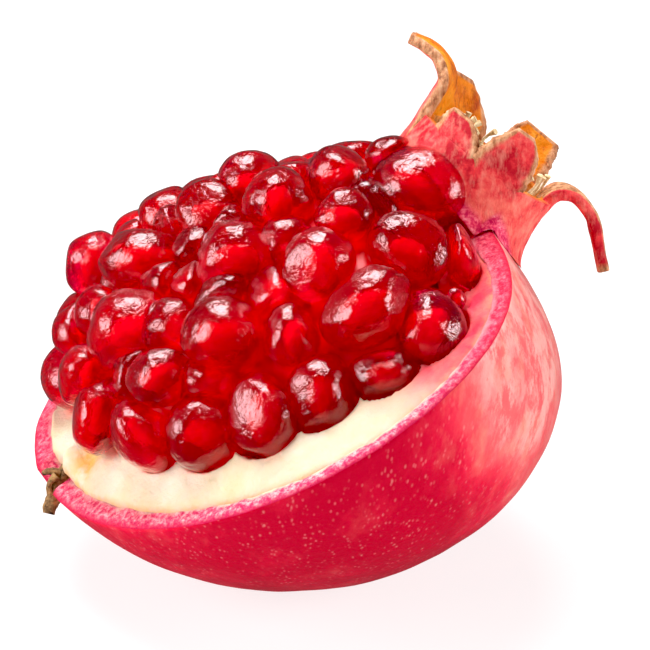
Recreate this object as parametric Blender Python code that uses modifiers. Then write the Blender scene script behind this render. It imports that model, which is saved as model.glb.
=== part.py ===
"""Pomegranate with the upper part of its rind lifted off, in metres, +Z up.

A red rind bowl, its cream pith, the dome of arils that stands in it, the calyx with its curled
sepals and dried stamens, and the stub of the stem. The fruit stands on a small flat spot.
"""

import math
import random

import bmesh
import bpy
from mathutils import Matrix, Vector

MM = 0.001
GAP = 0.3 * MM  # between pieces that touch
MERGE = 0.01 * MM  # corners nearer than this are one
GOLDEN_TURN = math.pi * (3 - math.sqrt(5))  # spreads places evenly round a spiral

# Fruit body, a turned shape about the axis from stem to crown
RADIUS = 42.0 * MM
STEM_LENGTH = 43.3 * MM  # from the widest circle to the stem pole
CROWN_LENGTH = 25.9 * MM  # from the widest circle to the crown pole
STEM_POWER = 1.076  # above 1 draws the stem end in
CROWN_POWER = 0.478  # below 1 squares the shoulder
RIND = 1.8 * MM
BODY_SIDES = 64
BODY_RINGS = 22
INNER_SIDES = 40
INNER_RINGS = 14
SEAT_SIDES = 48
SEAT_RINGS = 18

# How the fruit lies
CENTRE = Vector((0.5 * MM, 0.2 * MM, 41.0 * MM))
CROWN_RISE = math.radians(37.7)  # the axis above the table
CROWN_HEADING = math.radians(13.1)  # from +X towards +Y

# The cut that took the lid off
CUT_DROP = 3.26 * MM  # below the fruit's middle
CUT_PITCH = math.radians(5.5)  # the axis rises out of the cut by this
CUT_ROLL = math.radians(4.25)  # towards -Y
BACK_START = 3.0 * MM  # behind this line the cut slopes down
BACK_DIP = math.radians(9)

# The bed of arils, a rounded heap on the cut: along the fruit, across it, and up or down
BED_MIDDLE = Vector((-8.1, 0, -1.3)) * MM
BED_STEMWARD = 31.7 * MM
BED_CROWNWARD = 32.3 * MM
BED_WIDTH = 34.2 * MM
BED_HEIGHT = 22.3 * MM
BED_DEPTH = 29.0 * MM
BED_SQUARENESS = 5  # of the crown end, where 2 is an ellipse
BACK_SLOPE = Vector((0.39, 0.46, 0.80))  # the heap falls away behind and towards the crown
BACK_REACH = 19.6 * MM
SIGHT_STEP = 0.2 * MM
SIGHT_REACH = 2 * BED_WIDTH  # a sight line is followed this far on either side of the middle
HALVINGS = 30  # of the stretch in which the bed's surface is looked for
ARIL_RADIUS = 4.9 * MM
ARIL_SPACING = 7.7 * MM
FILLER_INSET = 7.4 * MM  # arils that show in the gaps, farther in
FILLER_SPACING = 6.3 * MM
FILLER_LOW = 5.0 * MM  # none below this, where the front row meets the pith
FRONT_FACING = 0.05  # how squarely the bed faces the eye where only the listed arils are seen
FOOT_RISE = 0.4  # near the pith, which the front arils leave bare, more of the bed counts as seen
FOOT_BACK = 0.3
CORE_INSET = 5.2 * MM
SPIRAL_STEPS = 1500
ARIL_LONG = (0.94, 1.08)  # hidden arils' half axes vary between these shares of the radius
ARIL_WIDE = (0.88, 1.0)  # across, as a share of the long one
ARIL_DEEP = (0.95, 1.1)  # outwards, as a share of the long one
ARIL_SIDES = (10, 7)  # round it, and from end to end
SOCKET_SIDES = (12, 8)
CORE_SIDES = (28, 16)
CAVITY_SIDES = (36, 20)
CAVITY_INSET = 4.6 * MM
SOCKET_GAP = 0.4 * MM  # round each aril that dents the pith
SOCKET_TOP = 7.0 * MM  # arils above this don't reach the pith
SEED = 11

# The pith's upper face swells above the cut, most at one side of the stem end
PITH_RISE = 3.4 * MM
PITH_RISE_BEARING = math.radians(-148)
PITH_SLOPE = 9.0 * MM  # how far in from the skin the swelling goes on rising
PITH_LID_HALF = 1.2 * RADIUS
PITH_LID_CELLS = 44

# The view that the arils at the front were read from: 650 pixels square, from -Y and above
VIEW_RISE = math.radians(22)
VIEW_DISTANCE = 480.0 * MM
VIEW_FOCAL = 3509.0  # pixels
VIEW_MIDDLE = 325.0  # pixels
VIEW_CENTRE = Vector((-4.609, 5.613, 2.154)) * MM  # the fruit's middle: right, up, near

# Name: middle across and down, half length and half width in pixels, tilt in degrees, and by how
# many millimetres the aril stands nearer than the bed's surface or, below 0, farther
FRONT_ARILS = {
    "top_1": (95, 265, 33, 29, 90, 0),
    "top_2": (135, 237, 19, 18, 0, -4),
    "top_3": (170, 221, 33, 33, 0, 0),
    "top_4": (251, 186, 33, 33, 0, 0),
    "top_5": (299, 195, 33, 33, 0, -5),
    "top_6": (339, 178, 33, 31, 15, 0),
    "top_7": (393, 160, 27, 22, 0, 9),
    "top_8": (419, 190, 48, 40, -20, 10),
    "second_1": (144, 262, 46, 33, 0, 0),
    "second_2": (213, 216, 37, 35, 0, 0),
    "second_3": (279, 206, 35, 33, 90, 0),
    "second_4": (344, 218, 29, 28, 0, -1),
    "third_1": (100, 312, 27, 24, 90, -2),
    "third_2": (134, 333, 44, 41, 0, 1),
    "third_3": (237, 260, 40, 39, 0, 1),
    "third_4": (320, 267, 37, 35, 90, 0),
    "third_5": (409, 254, 43, 38, -30, 1),
    "third_6": (459, 258, 36, 18, -75, 6),
    "third_7": (457, 300, 13, 12, 90, 0),
    "fourth_1": (82, 331, 31, 27, 90, 0),
    "fourth_2": (88, 378, 32, 28, 80, 0),
    "fourth_3": (160, 377, 34, 28, 30, 0),
    "fourth_4": (223, 337, 39, 37, 0, 1),
    "fourth_5": (292, 339, 34, 29, 90, -1),
    "fourth_6": (366, 309, 50, 37, 35, 1),
    "fourth_7": (428, 332, 40, 37, 60, 2),
    "bottom_1": (99, 415, 38, 27, 75, 0),
    "bottom_2": (143, 434, 42, 29, -40, 0),
    "bottom_3": (206, 433, 38, 36, 0, 0),
    "bottom_4": (265, 416, 42, 38, 90, 0),
    "bottom_5": (322, 397, 42, 38, 90, 0),
    "bottom_6": (386, 376, 37, 29, 10, 0),
}

# Calyx: a cup on the crown end, and its curled sepals
CALYX_FOOT = Vector((25.1, -1.2, 0.1)) * MM  # along the axis, across, up, from the cut's middle
CALYX_LEAN = math.radians(21.3)  # out of the cut
CALYX_TURN = math.radians(-27.5)  # about its own axis, so that its front faces -Y
CALYX_LENGTH = 7.2 * MM  # from the foot to the mouth
CALYX_RADIUS = 10.8 * MM
CALYX_FLARE = 1.4 * MM  # how much wider its foot is
FLARE_START = 0.8 * CALYX_LENGTH  # it widens from here down
FLARE_FOOT = -1.5 * MM
CALYX_ROOT = 3.0 * MM  # it runs on down by this, until the crown cuts it off
CALYX_WALL = 1.7 * MM
CALYX_SIDES = 36
CALYX_STEPS = 5
CUP_DEPTH = 8.5 * MM
CUP_BEVEL = (1.2 * MM, 1.4 * MM)  # across and up, where the cup's floor meets its wall
COLLAR_RADIUS = 11.4 * MM  # rind that the cut leaves round the calyx
COLLAR_SIDES = 48

# Name: bearing in degrees from the front towards the right, half widths, and the middle line as
# (up from the mouth, out from the calyx's axis, sideways), in millimetres
SEPALS = {
    "sepal_tall": (-97, (4.8, 4.5, 4.0, 3.2, 2.4, 1.8),
                   ((-2.5, 9.9, 0), (2.4, 10.2, 0), (5.4, 11.2, 0), (7.2, 13.4, 0),
                    (7.7, 15.8, 0), (7.3, 18.0, 0))),
    "sepal_back": (-140, (5.0, 4.8, 3.8, 1.6),
                   ((-2.5, 9.9, 0), (1.5, 10.1, 0.4), (3.8, 10.6, 1.3), (6.2, 11.3, 2.6))),
    "sepal_short": (-29, (4.2, 3.8, 3.1, 1.7),
                    ((-2.5, 9.9, 0), (0.6, 10.1, 0), (2.4, 10.2, -0.6), (3.7, 10.4, -1.2))),
    "sepal_front": (14, (4.4, 4.1, 3.0, 1.2),
                    ((-2.5, 9.9, 0), (2.0, 10.2, 0), (4.8, 10.3, 0.1), (6.9, 10.0, -0.3))),
    "sepal_drooping": (98, (3.4, 2.9, 2.5, 2.1, 1.8, 1.7, 1.6),
                       ((-2.5, 9.9, 0), (1.2, 10.4, 0), (2.6, 12.2, 0), (2.3, 14.9, 0),
                        (1.0, 17.3, 0), (-1.2, 19.6, 0), (-3.4, 22.1, 0))),
    "sepal_right": (156, (4.6, 4.4, 3.9, 2.9),
                    ((-2.5, 9.9, 0), (1.5, 10.1, 0), (4.2, 10.3, 0), (6.0, 10.5, 0))),
}
SEPAL_THICKNESS = 1.6 * MM
SEPAL_EDGE = 0.5  # share of the thickness that is gone at the edges
SEPAL_SPANS = (-1, -0.55, 0, 0.55, 1)  # the places across it that have corners, in half widths

STAMEN_COUNT = 22
STAMEN_LENGTH = 6.0 * MM
STAMEN_LENGTHS = (0.75, 1.1)  # they vary between these shares of it
STAMEN_LEAN = (-0.1, 0.15)  # inwards or outwards
STAMEN_RADIUS = 0.45 * MM
STAMEN_TAPER = (1.0, 0.8, 0.7, 1.5)  # shares of the radius, from the foot to the anther
STAMEN_TIP = 0.9 * MM
STAMEN_RING = (4.2 * MM, 6.6 * MM)  # the radii that they stand between
STAMEN_DISC = 1.2 * MM
STAMEN_DISC_RADIUS = 7.8 * MM
STAMEN_DISC_SIDES = 24

# Stem stub, in the view's own frame: right, up, near, and radius, in millimetres
STEM_LINE = (
    ((-33.8, -18.6, -0.4), 1.2),
    ((-35.4, -20.4, -0.3), 1.3),
    ((-36.3, -21.5, -0.2), 1.15),
    ((-36.7, -23.0, 0.1), 1.05),
    ((-37.5, -24.6, 0.3), 1.0),
    ((-37.8, -25.8, 0.4), 0.8),
)
STEM_NOTCH = 2.4 * MM  # radius of the notch that the stem stands in
STEM_NOTCH_DROP = 1.0 * MM
STEM_NOTCH_LENGTH = 12.0 * MM
STEM_NOTCH_SIDES = 16

COLOURS = {  # base colour, roughness
    "rind": ((0.62, 0.02, 0.07), 0.35),
    "pith": ((0.93, 0.83, 0.62), 0.7),
    "arils": ((0.50, 0.0, 0.02), 0.12),
    "calyx": ((0.72, 0.16, 0.10), 0.6),
    "stamens": ((0.70, 0.50, 0.25), 0.8),
    "stem_stub": ((0.25, 0.13, 0.05), 0.8),
}


def frame(origin, z_axis, x_hint):
    """The matrix of a frame with that Z axis, and X as near the hint as it can be."""
    z = z_axis.normalized()
    x = (x_hint - z * x_hint.dot(z)).normalized()
    axes = Matrix((x, z.cross(x), z)).transposed()
    return Matrix.Translation(origin) @ axes.to_4x4()


def fruit_frame():
    axis = Vector((math.cos(CROWN_RISE) * math.cos(CROWN_HEADING),
                   math.cos(CROWN_RISE) * math.sin(CROWN_HEADING), math.sin(CROWN_RISE)))
    return frame(CENTRE, axis, Vector((0, 0, 1)))


def cut_frame():
    """X runs along the cut towards the crown, and Z stands on the cut."""
    axes = FRUIT.to_3x3()
    rise, side, axis = axes.col[0], axes.col[1], axes.col[2]
    across = rise * math.cos(CUT_ROLL) + side * math.sin(CUT_ROLL)
    normal = across * math.cos(CUT_PITCH) + axis * math.sin(CUT_PITCH)
    return frame(CENTRE - normal * CUT_DROP, normal, axis)


def calyx_frame():
    """Z runs out of the calyx's mouth, from its foot, and -Y faces the front."""
    lean = Vector((math.cos(CALYX_LEAN), 0, math.sin(CALYX_LEAN)))
    turn = Matrix.Rotation(CALYX_TURN, 4, "Z")
    return CUT @ frame(CALYX_FOOT, lean, Vector((0, 0, -1))) @ turn


def view_frame():
    """X runs right, Y up and Z towards the eye, from the middle of the view."""
    up = Vector((0, math.sin(VIEW_RISE), math.cos(VIEW_RISE)))
    near = Vector((0, -math.cos(VIEW_RISE), math.sin(VIEW_RISE)))
    axes = Matrix((Vector((1, 0, 0)), up, near)).transposed()
    return Matrix.Translation(CENTRE - axes @ VIEW_CENTRE) @ axes.to_4x4()


FRUIT = fruit_frame()
CUT = cut_frame()
CALYX = calyx_frame()
VIEW = view_frame()


def clear_scene():
    for thing in list(bpy.data.objects):
        bpy.data.objects.remove(thing)


def new_collection(name):
    group = bpy.data.collections.new(name)
    bpy.context.scene.collection.children.link(group)
    return group


def new_object(name, shape, group, matrix=None):
    """An object from a bmesh, which is freed."""
    mesh = bpy.data.meshes.new(name)
    bmesh.ops.recalc_face_normals(shape, faces=shape.faces)
    shape.to_mesh(mesh)
    shape.free()
    thing = bpy.data.objects.new(name, mesh)
    if matrix:
        thing.matrix_world = matrix
    group.objects.link(thing)
    return thing


def hide_cutter(thing):
    thing.hide_render = True
    thing.display_type = "WIRE"
    return thing


def finish(thing, slot):
    colour, roughness = COLOURS[slot]
    material = bpy.data.materials.new(slot)
    material.use_nodes = True
    shader = material.node_tree.nodes["Principled BSDF"]
    shader.inputs["Base Color"].default_value = (*colour, 1)
    shader.inputs["Roughness"].default_value = roughness
    shader.inputs["Metallic"].default_value = 0
    thing.data.materials.append(material)
    if thing.type == "MESH":
        thing.data.shade_smooth()
    return thing


def boolean(thing, operation, other=None, group=None):
    """A live Boolean with one object, or with each object of a collection."""
    step = thing.modifiers.new(operation.lower(), "BOOLEAN")
    step.operation = operation
    step.solver = "EXACT"
    if group:
        step.operand_type = "COLLECTION"
        step.collection = group
    else:
        step.object = other


def settle(thing):
    """Applies the modifiers and keeps the largest body, so that no scrap of a cut stays."""
    graph = bpy.context.evaluated_depsgraph_get()
    shape = bmesh.new()
    shape.from_mesh(thing.evaluated_get(graph).to_mesh())
    thing.modifiers.clear()
    waiting, bodies = set(shape.verts), []
    while waiting:
        body, edge = set(), [waiting.pop()]
        while edge:
            corner = edge.pop()
            body.add(corner)
            for line in corner.link_edges:
                far = line.other_vert(corner)
                if far in waiting:
                    waiting.remove(far)
                    edge.append(far)
        bodies.append(body)
    bodies.sort(key=len)
    scraps = [corner for body in bodies[:-1] for corner in body]
    bmesh.ops.delete(shape, geom=scraps, context="VERTS")
    shape.to_mesh(thing.data)
    shape.free()


def meridian(inset, rings):
    """The body's outline from crown to stem, as (out, along), drawn in by the inset."""
    points = []
    for ring in range(rings + 1):
        turn = math.pi * (1 - ring / rings)
        crown = turn > math.pi / 2
        length = (CROWN_LENGTH if crown else STEM_LENGTH) - inset
        power = CROWN_POWER if crown else STEM_POWER
        points.append(((RADIUS - inset) * abs(math.sin(turn)) ** power, -length * math.cos(turn)))
    points[0] = (0, points[0][1])
    points[-1] = (0, points[-1][1])
    return points


def turned(name, points, sides, group, matrix):
    """A profile turned about Z. It runs from its top to its bottom on its outer side."""
    mesh = bpy.data.meshes.new(name)
    edges = [(i, i + 1) for i in range(len(points) - 1)]
    mesh.from_pydata([(out, 0, along) for out, along in points], edges, [])
    thing = bpy.data.objects.new(name, mesh)
    group.objects.link(thing)
    turn = thing.modifiers.new("turn", "SCREW")
    turn.steps = turn.render_steps = sides
    turn.use_merge_vertices = True
    turn.merge_threshold = MERGE
    thing.matrix_world = matrix
    return thing


def body_solid(name, inset, group, sides=BODY_SIDES, rings=BODY_RINGS):
    return turned(name, meridian(inset, rings), sides, group, FRUIT)


def cube_object(name, size, group, matrix):
    shape = bmesh.new()
    bmesh.ops.create_cube(shape, size=size)
    return new_object(name, shape, group, matrix)


def rind_lid(group):
    """All that lies above the cut and its dip at the back, less a round collar about the calyx."""
    reach = 3 * RADIUS
    above = Matrix.Translation((0, 0, reach / 2))
    dip = Matrix.Translation((0, BACK_START, 0)) @ Matrix.Rotation(-BACK_DIP, 4, "X")
    lid, back = [hide_cutter(cube_object(name, reach, group, CUT @ place @ above))
                 for name, place in (("rind_lid", Matrix()), ("rind_lid_back", dip))]
    boolean(lid, "UNION", back)
    shape = bmesh.new()
    bmesh.ops.create_cone(shape, cap_ends=True, segments=COLLAR_SIDES, radius1=COLLAR_RADIUS,
                          radius2=COLLAR_RADIUS, depth=reach)
    collar = hide_cutter(new_object("collar", shape, group, CALYX))
    boolean(lid, "DIFFERENCE", collar)
    return lid


def sight_line(across, down):
    """Where a sight line starts and where it goes, in the cut's frame."""
    eye = Vector((0, 0, VIEW_DISTANCE))
    way = Vector(((across - VIEW_MIDDLE) / VIEW_FOCAL, (VIEW_MIDDLE - down) / VIEW_FOCAL, -1))
    into = CUT.inverted() @ VIEW
    return into @ eye, into.to_3x3() @ way.normalized()


def bed_level(point, inset):
    """Under 1 inside the bed, once the bed is drawn in by the inset."""
    x, y, z = point - BED_MIDDLE
    if x > 0:
        along = (x / (BED_CROWNWARD - inset)) ** BED_SQUARENESS
    else:
        along = (x / (BED_STEMWARD - inset)) ** 2
    return along + (y / (BED_WIDTH - inset)) ** 2 + (z / (BED_HEIGHT - inset)) ** 2


def bed_point(way, inset, floor=BED_HEIGHT):
    """Where a ray from the bed's middle leaves it. Below the middle, the bed is as deep as the floor."""
    way = Vector(way)
    if way.z < 0:
        way.z *= BED_HEIGHT / floor
    near, far = 0, 2 * BED_WIDTH
    for _ in range(HALVINGS):
        half = (near + far) / 2
        if bed_level(BED_MIDDLE + way * half, inset) < 1:
            near = half
        else:
            far = half
    place = BED_MIDDLE + way * near
    if way.z < 0:
        place.z = BED_MIDDLE.z + way.z * near * floor / BED_HEIGHT
    over = place.dot(BACK_SLOPE) - (BACK_REACH - inset)
    if over > 0:
        place.z -= over / BACK_SLOPE.z
    return place


def on_bed(across, down, inset):
    """The point of the bed that a sight line meets first or, if it misses, passes nearest."""
    start, way = sight_line(across, down)
    nearest, found = 1e9, start
    for step in range(int(2 * SIGHT_REACH / SIGHT_STEP)):
        point = start + way * (VIEW_DISTANCE - SIGHT_REACH + step * SIGHT_STEP)
        level = bed_level(point, inset)
        if level < nearest:
            nearest, found = level, point
        if level < 1:
            break
    return found, way


def front_arils():
    """Each aril seen from the front: middle, half axes and turn, in the cut's frame."""
    into = (CUT.inverted() @ VIEW).to_3x3()
    arils = []
    for across, down, long, short, tilt, nearer in FRONT_ARILS.values():
        inset = short * VIEW_DISTANCE / VIEW_FOCAL
        middle, way = on_bed(across, down, inset)
        middle -= way * nearer * MM
        size = (sight_line(across, down)[0] - middle).length / VIEW_FOCAL
        axes = (long * size, short * size, (long + short) / 2 * size)
        arils.append((middle, axes, into @ Matrix.Rotation(math.radians(tilt), 3, "Z")))
    return arils


def hidden_arils(front):
    """Fills the rest of the bed: spirals of places from the top down, kept where none is near."""
    chance = random.Random(SEED)
    near = (CUT.inverted() @ VIEW).to_3x3().col[2]
    places = [middle for middle, _, _ in front]
    arils = []
    for inset, spacing, low in ((ARIL_RADIUS, ARIL_SPACING, -RADIUS),
                                (FILLER_INSET, FILLER_SPACING, FILLER_LOW)):
        for step in range(SPIRAL_STEPS):
            rise = 1 - (step + 0.5) / SPIRAL_STEPS
            turn = step * GOLDEN_TURN
            flat = math.sqrt(1 - rise * rise)
            way = Vector((flat * math.cos(turn), flat * math.sin(turn), rise))
            place = bed_point(way, inset)
            seen = way.dot(near) > FRONT_FACING or rise < FOOT_RISE and way.y < FOOT_BACK
            if inset == ARIL_RADIUS and seen or place.z < low:
                continue
            if min((place - other).length for other in places) < spacing:
                continue
            places.append(place)
            aril_turn = frame(Vector(), place - BED_MIDDLE, Vector((1, 0.3, 0))).to_3x3()
            aril_turn = aril_turn @ Matrix.Rotation(chance.uniform(0, math.pi), 3, "Z")
            long = ARIL_RADIUS * chance.uniform(*ARIL_LONG)
            axes = (long, long * chance.uniform(*ARIL_WIDE), long * chance.uniform(*ARIL_DEEP))
            arils.append((place, axes, aril_turn))
    return arils


def aril_shapes(group, arils, grow, sides, rings):
    for number, (middle, axes, turn) in enumerate(arils):
        shape = bmesh.new()
        bmesh.ops.create_uvsphere(shape, u_segments=sides, v_segments=rings, radius=1)
        size = Matrix.Diagonal([half + grow for half in axes])
        bmesh.ops.transform(shape, matrix=(turn @ size).to_4x4(), verts=shape.verts)
        bmesh.ops.translate(shape, vec=middle, verts=shape.verts)
        hide_cutter(new_object(f"aril_{number}", shape, group, CUT))


def bed_solid(name, group, inset, floor, sides, rings):
    """The bed as a solid, drawn in all round, with the given depth under the cut."""
    shape = bmesh.new()
    bmesh.ops.create_uvsphere(shape, u_segments=sides, v_segments=rings, radius=1)
    for corner in shape.verts:
        corner.co = bed_point(corner.co, inset, floor)
    return new_object(name, shape, group, CUT)


def body_width(along):
    """Half the body's width at that place along the cut."""
    length, power = (STEM_LENGTH, STEM_POWER) if along < 0 else (CROWN_LENGTH, CROWN_POWER)
    return RADIUS * max(0, 1 - (along / length) ** 2) ** (power / 2)


def pith_level(x, y):
    """Height of the pith's upper face above the cut."""
    inset = min(body_width(x) - abs(y), x + STEM_LENGTH)
    slope = min(max(inset / PITH_SLOPE, 0), 1)
    side = max(0, math.cos(math.atan2(y, x) - PITH_RISE_BEARING))
    dip = max(0, y - BACK_START) * math.tan(BACK_DIP)
    return PITH_RISE * side ** 2 * slope * slope * (3 - 2 * slope) - dip


def pith_lid(group):
    """All that lies above the pith's upper face."""
    shape = bmesh.new()
    bmesh.ops.create_grid(shape, x_segments=PITH_LID_CELLS, y_segments=PITH_LID_CELLS,
                          size=PITH_LID_HALF)
    for corner in shape.verts:
        corner.co.z = pith_level(corner.co.x, corner.co.y)
    top = bmesh.ops.extrude_face_region(shape, geom=shape.faces[:])["geom"]
    for corner in [item for item in top if isinstance(item, bmesh.types.BMVert)]:
        corner.co.z = 2 * RADIUS
    return hide_cutter(new_object("pith_lid", shape, group, CUT))


def make_rind(parts, cutters):
    rind = body_solid("rind", 0, parts)
    hollow = hide_cutter(body_solid("rind_hollow", RIND, cutters, INNER_SIDES, INNER_RINGS))
    boolean(rind, "DIFFERENCE", hollow)
    boolean(rind, "DIFFERENCE", rind_lid(cutters))
    boolean(rind, "DIFFERENCE", stem_notch(cutters))
    floor = cube_object("rest_cutter", RADIUS, cutters, Matrix.Translation((0, 0, -RADIUS / 2)))
    boolean(rind, "DIFFERENCE", hide_cutter(floor))
    settle(rind)
    return finish(rind, "rind")


def stem_notch(cutters):
    shape = bmesh.new()
    bmesh.ops.create_cone(shape, cap_ends=True, segments=STEM_NOTCH_SIDES, radius1=STEM_NOTCH,
                          radius2=STEM_NOTCH, depth=STEM_NOTCH_LENGTH)
    place = Matrix.Translation((-STEM_NOTCH_DROP, 0, -STEM_LENGTH))
    return hide_cutter(new_object("stem_notch", shape, cutters, FRUIT @ place))


def make_pith(parts, cutters, arils):
    pith = body_solid("pith", RIND + GAP, parts, INNER_SIDES, INNER_RINGS)
    boolean(pith, "DIFFERENCE", pith_lid(cutters))
    cavity = hide_cutter(bed_solid("cavity", cutters, CAVITY_INSET, BED_DEPTH, *CAVITY_SIDES))
    sockets = new_collection("sockets")
    rim = [aril for aril in arils if aril[0].z < SOCKET_TOP]
    aril_shapes(sockets, rim, SOCKET_GAP, *SOCKET_SIDES)
    boolean(cavity, "UNION", group=sockets)
    settle(cavity)
    drop_collection(sockets)
    boolean(pith, "DIFFERENCE", cavity)
    boolean(pith, "DIFFERENCE", bpy.data.objects["stem_notch"])
    settle(pith)
    return finish(pith, "pith")


def make_arils(parts, cutters, arils):
    cluster = bed_solid("arils", parts, CORE_INSET, BED_DEPTH - CAVITY_INSET, *CORE_SIDES)
    repeats = new_collection("aril repeats")
    aril_shapes(repeats, arils, 0, *ARIL_SIDES)
    boolean(cluster, "UNION", group=repeats)
    limit = hide_cutter(body_solid("aril_limit", RIND + 2 * GAP, cutters, INNER_SIDES, INNER_RINGS))
    boolean(cluster, "INTERSECT", limit)
    settle(cluster)
    drop_collection(repeats)
    return finish(cluster, "arils")


def calyx_profile():
    """From the cup's floor, up inside its wall, over the mouth and down the outside."""
    inner = CALYX_RADIUS - CALYX_WALL
    floor = CALYX_LENGTH - CUP_DEPTH
    points = [(0, floor), (inner - CUP_BEVEL[0], floor), (inner, floor + CUP_BEVEL[1])]
    points += [(inner, CALYX_LENGTH), (CALYX_RADIUS, CALYX_LENGTH)]
    for step in range(CALYX_STEPS + 1):
        down = step / CALYX_STEPS
        height = FLARE_START + (FLARE_FOOT - FLARE_START) * down
        points.append((CALYX_RADIUS + CALYX_FLARE * down ** 3, height))
    return points + [(0, FLARE_FOOT - CALYX_ROOT)]


def sepal_shape(bearing, widths, line):
    """A tapered blade swept along its middle line, cupped like the calyx's wall at its root."""
    out = Vector((math.sin(bearing), -math.cos(bearing), 0))
    side = Vector((math.cos(bearing), math.sin(bearing), 0))
    middles = [(out * o + side * s + Vector((0, 0, CALYX_LENGTH / MM + up))) * MM
               for up, o, s in line]
    shape = bmesh.new()
    rings = []
    for number, (middle, half) in enumerate(zip(middles, widths)):
        before = middles[max(number - 1, 0)]
        after = middles[min(number + 1, len(middles) - 1)]
        thick = (after - before).normalized().cross(side)
        cup = (1 - number / (len(middles) - 1)) / 2 / CALYX_RADIUS
        ring = []
        for face, order in ((0.5, SEPAL_SPANS), (-0.5, SEPAL_SPANS[::-1])):
            for span in order:
                across = span * half * MM
                depth = SEPAL_THICKNESS * (1 - SEPAL_EDGE * abs(span) ** 3) * face
                place = middle + side * across + thick * depth - out * across ** 2 * cup
                ring.append(shape.verts.new(place))
        rings.append(ring)
    for low, high in zip(rings, rings[1:]):
        for i in range(len(low)):
            k = (i + 1) % len(low)
            shape.faces.new((low[i], low[k], high[k], high[i]))
    shape.faces.new(rings[0])
    shape.faces.new(rings[-1])
    return shape


def make_calyx(parts, cutters):
    calyx = turned("calyx", calyx_profile(), CALYX_SIDES, parts, CALYX)
    blades = new_collection("sepals")
    for name, (bearing, widths, line) in SEPALS.items():
        blade = sepal_shape(math.radians(bearing), widths, line)
        hide_cutter(new_object(name, blade, blades, CALYX))
    boolean(calyx, "UNION", group=blades)
    seat = hide_cutter(body_solid("calyx_seat", -GAP, cutters, SEAT_SIDES, SEAT_RINGS))
    boolean(calyx, "DIFFERENCE", seat)
    settle(calyx)
    drop_collection(blades)
    return finish(calyx, "calyx")


def drop_collection(group):
    for thing in list(group.objects):
        bpy.data.objects.remove(thing)
    bpy.data.collections.remove(group)


def stamen_shape(foot, lean, turn, length):
    """A thin four-sided filament that bends outwards, and ends in a small anther."""
    shape = bmesh.new()
    rings = []
    for step, share in enumerate(STAMEN_TAPER):
        part = step / (len(STAMEN_TAPER) - 1)
        bend = lean * part * part * length
        middle = foot + Vector((bend * math.cos(turn), bend * math.sin(turn), part * length))
        wide = STAMEN_RADIUS * share
        rings.append([shape.verts.new(middle + Vector((wide * math.cos(a), wide * math.sin(a), 0)))
                      for a in (0, math.pi / 2, math.pi, math.pi * 3 / 2)])
    for low, high in zip(rings, rings[1:]):
        for i in range(4):
            shape.faces.new((low[i], low[(i + 1) % 4], high[(i + 1) % 4], high[i]))
    shape.faces.new(rings[0])
    tip = shape.verts.new(middle + Vector((0, 0, STAMEN_TIP)))
    for i in range(4):
        shape.faces.new((rings[-1][i], rings[-1][(i + 1) % 4], tip))
    return shape


def crown_height(x, y):
    """How far up the calyx's axis the crown's flat end lies, under that place across it."""
    place = FRUIT.inverted() @ CALYX @ Vector((x, y, 0))
    way = (FRUIT.inverted() @ CALYX).to_3x3().col[2]
    return (CROWN_LENGTH - place.z) / way.z


def make_stamens(parts):
    """Dried filaments in a ring, on a disc that lies on the crown inside the calyx."""
    chance = random.Random(SEED)
    crown = Matrix.Translation(CALYX @ Vector((0, 0, crown_height(0, 0)))) @ FRUIT.to_3x3().to_4x4()
    shape = bmesh.new()
    place = Matrix.Translation((0, 0, GAP + STAMEN_DISC / 2))
    bmesh.ops.create_cone(shape, cap_ends=True, segments=STAMEN_DISC_SIDES, depth=STAMEN_DISC,
                          radius1=STAMEN_DISC_RADIUS, radius2=STAMEN_DISC_RADIUS, matrix=place)
    stamens = new_object("stamens", shape, parts, crown)
    repeats = new_collection("stamen repeats")
    for number in range(STAMEN_COUNT):
        out = math.sqrt(chance.uniform(STAMEN_RING[0] ** 2, STAMEN_RING[1] ** 2))
        turn = number * GOLDEN_TURN
        x, y = out * math.cos(turn), out * math.sin(turn)
        foot = Vector((x, y, crown_height(x, y) + STAMEN_DISC / 2))
        length = STAMEN_LENGTH * chance.uniform(*STAMEN_LENGTHS)
        blade = stamen_shape(foot, chance.uniform(*STAMEN_LEAN), turn, length)
        hide_cutter(new_object(f"stamen_{number}", blade, repeats, CALYX))
    boolean(stamens, "UNION", group=repeats)
    settle(stamens)
    drop_collection(repeats)
    return finish(stamens, "stamens")


def make_stem(parts):
    curve = bpy.data.curves.new("stem_stub", "CURVE")
    curve.dimensions = "3D"
    curve.bevel_depth = MM
    curve.bevel_resolution = 2
    curve.use_fill_caps = True
    curve.resolution_u = 3
    spline = curve.splines.new("NURBS")
    spline.points.add(len(STEM_LINE) - 1)
    spline.use_endpoint_u = True
    spline.order_u = 3
    for point, (place, radius) in zip(spline.points, STEM_LINE):
        point.co = (*(Vector(place) * MM), 1)
        point.radius = radius
    stem = bpy.data.objects.new("stem_stub", curve)
    stem.matrix_world = VIEW
    parts.objects.link(stem)
    return finish(stem, "stem_stub")


def main():
    clear_scene()
    parts = new_collection("pomegranate")
    cutters = new_collection("cutters")
    front = front_arils()
    arils = front + hidden_arils(front)
    make_rind(parts, cutters)
    make_pith(parts, cutters, arils)
    make_arils(parts, cutters, arils)
    make_calyx(parts, cutters)
    make_stamens(parts)
    make_stem(parts)


main()
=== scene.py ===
"""Looks of an opened pomegranate: waxy red skin, cream pith, wet ruby arils, dry calyx and stem."""

import math
import random

import bmesh
import bpy
import numpy as np
from mathutils import Matrix, Vector, noise


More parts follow.
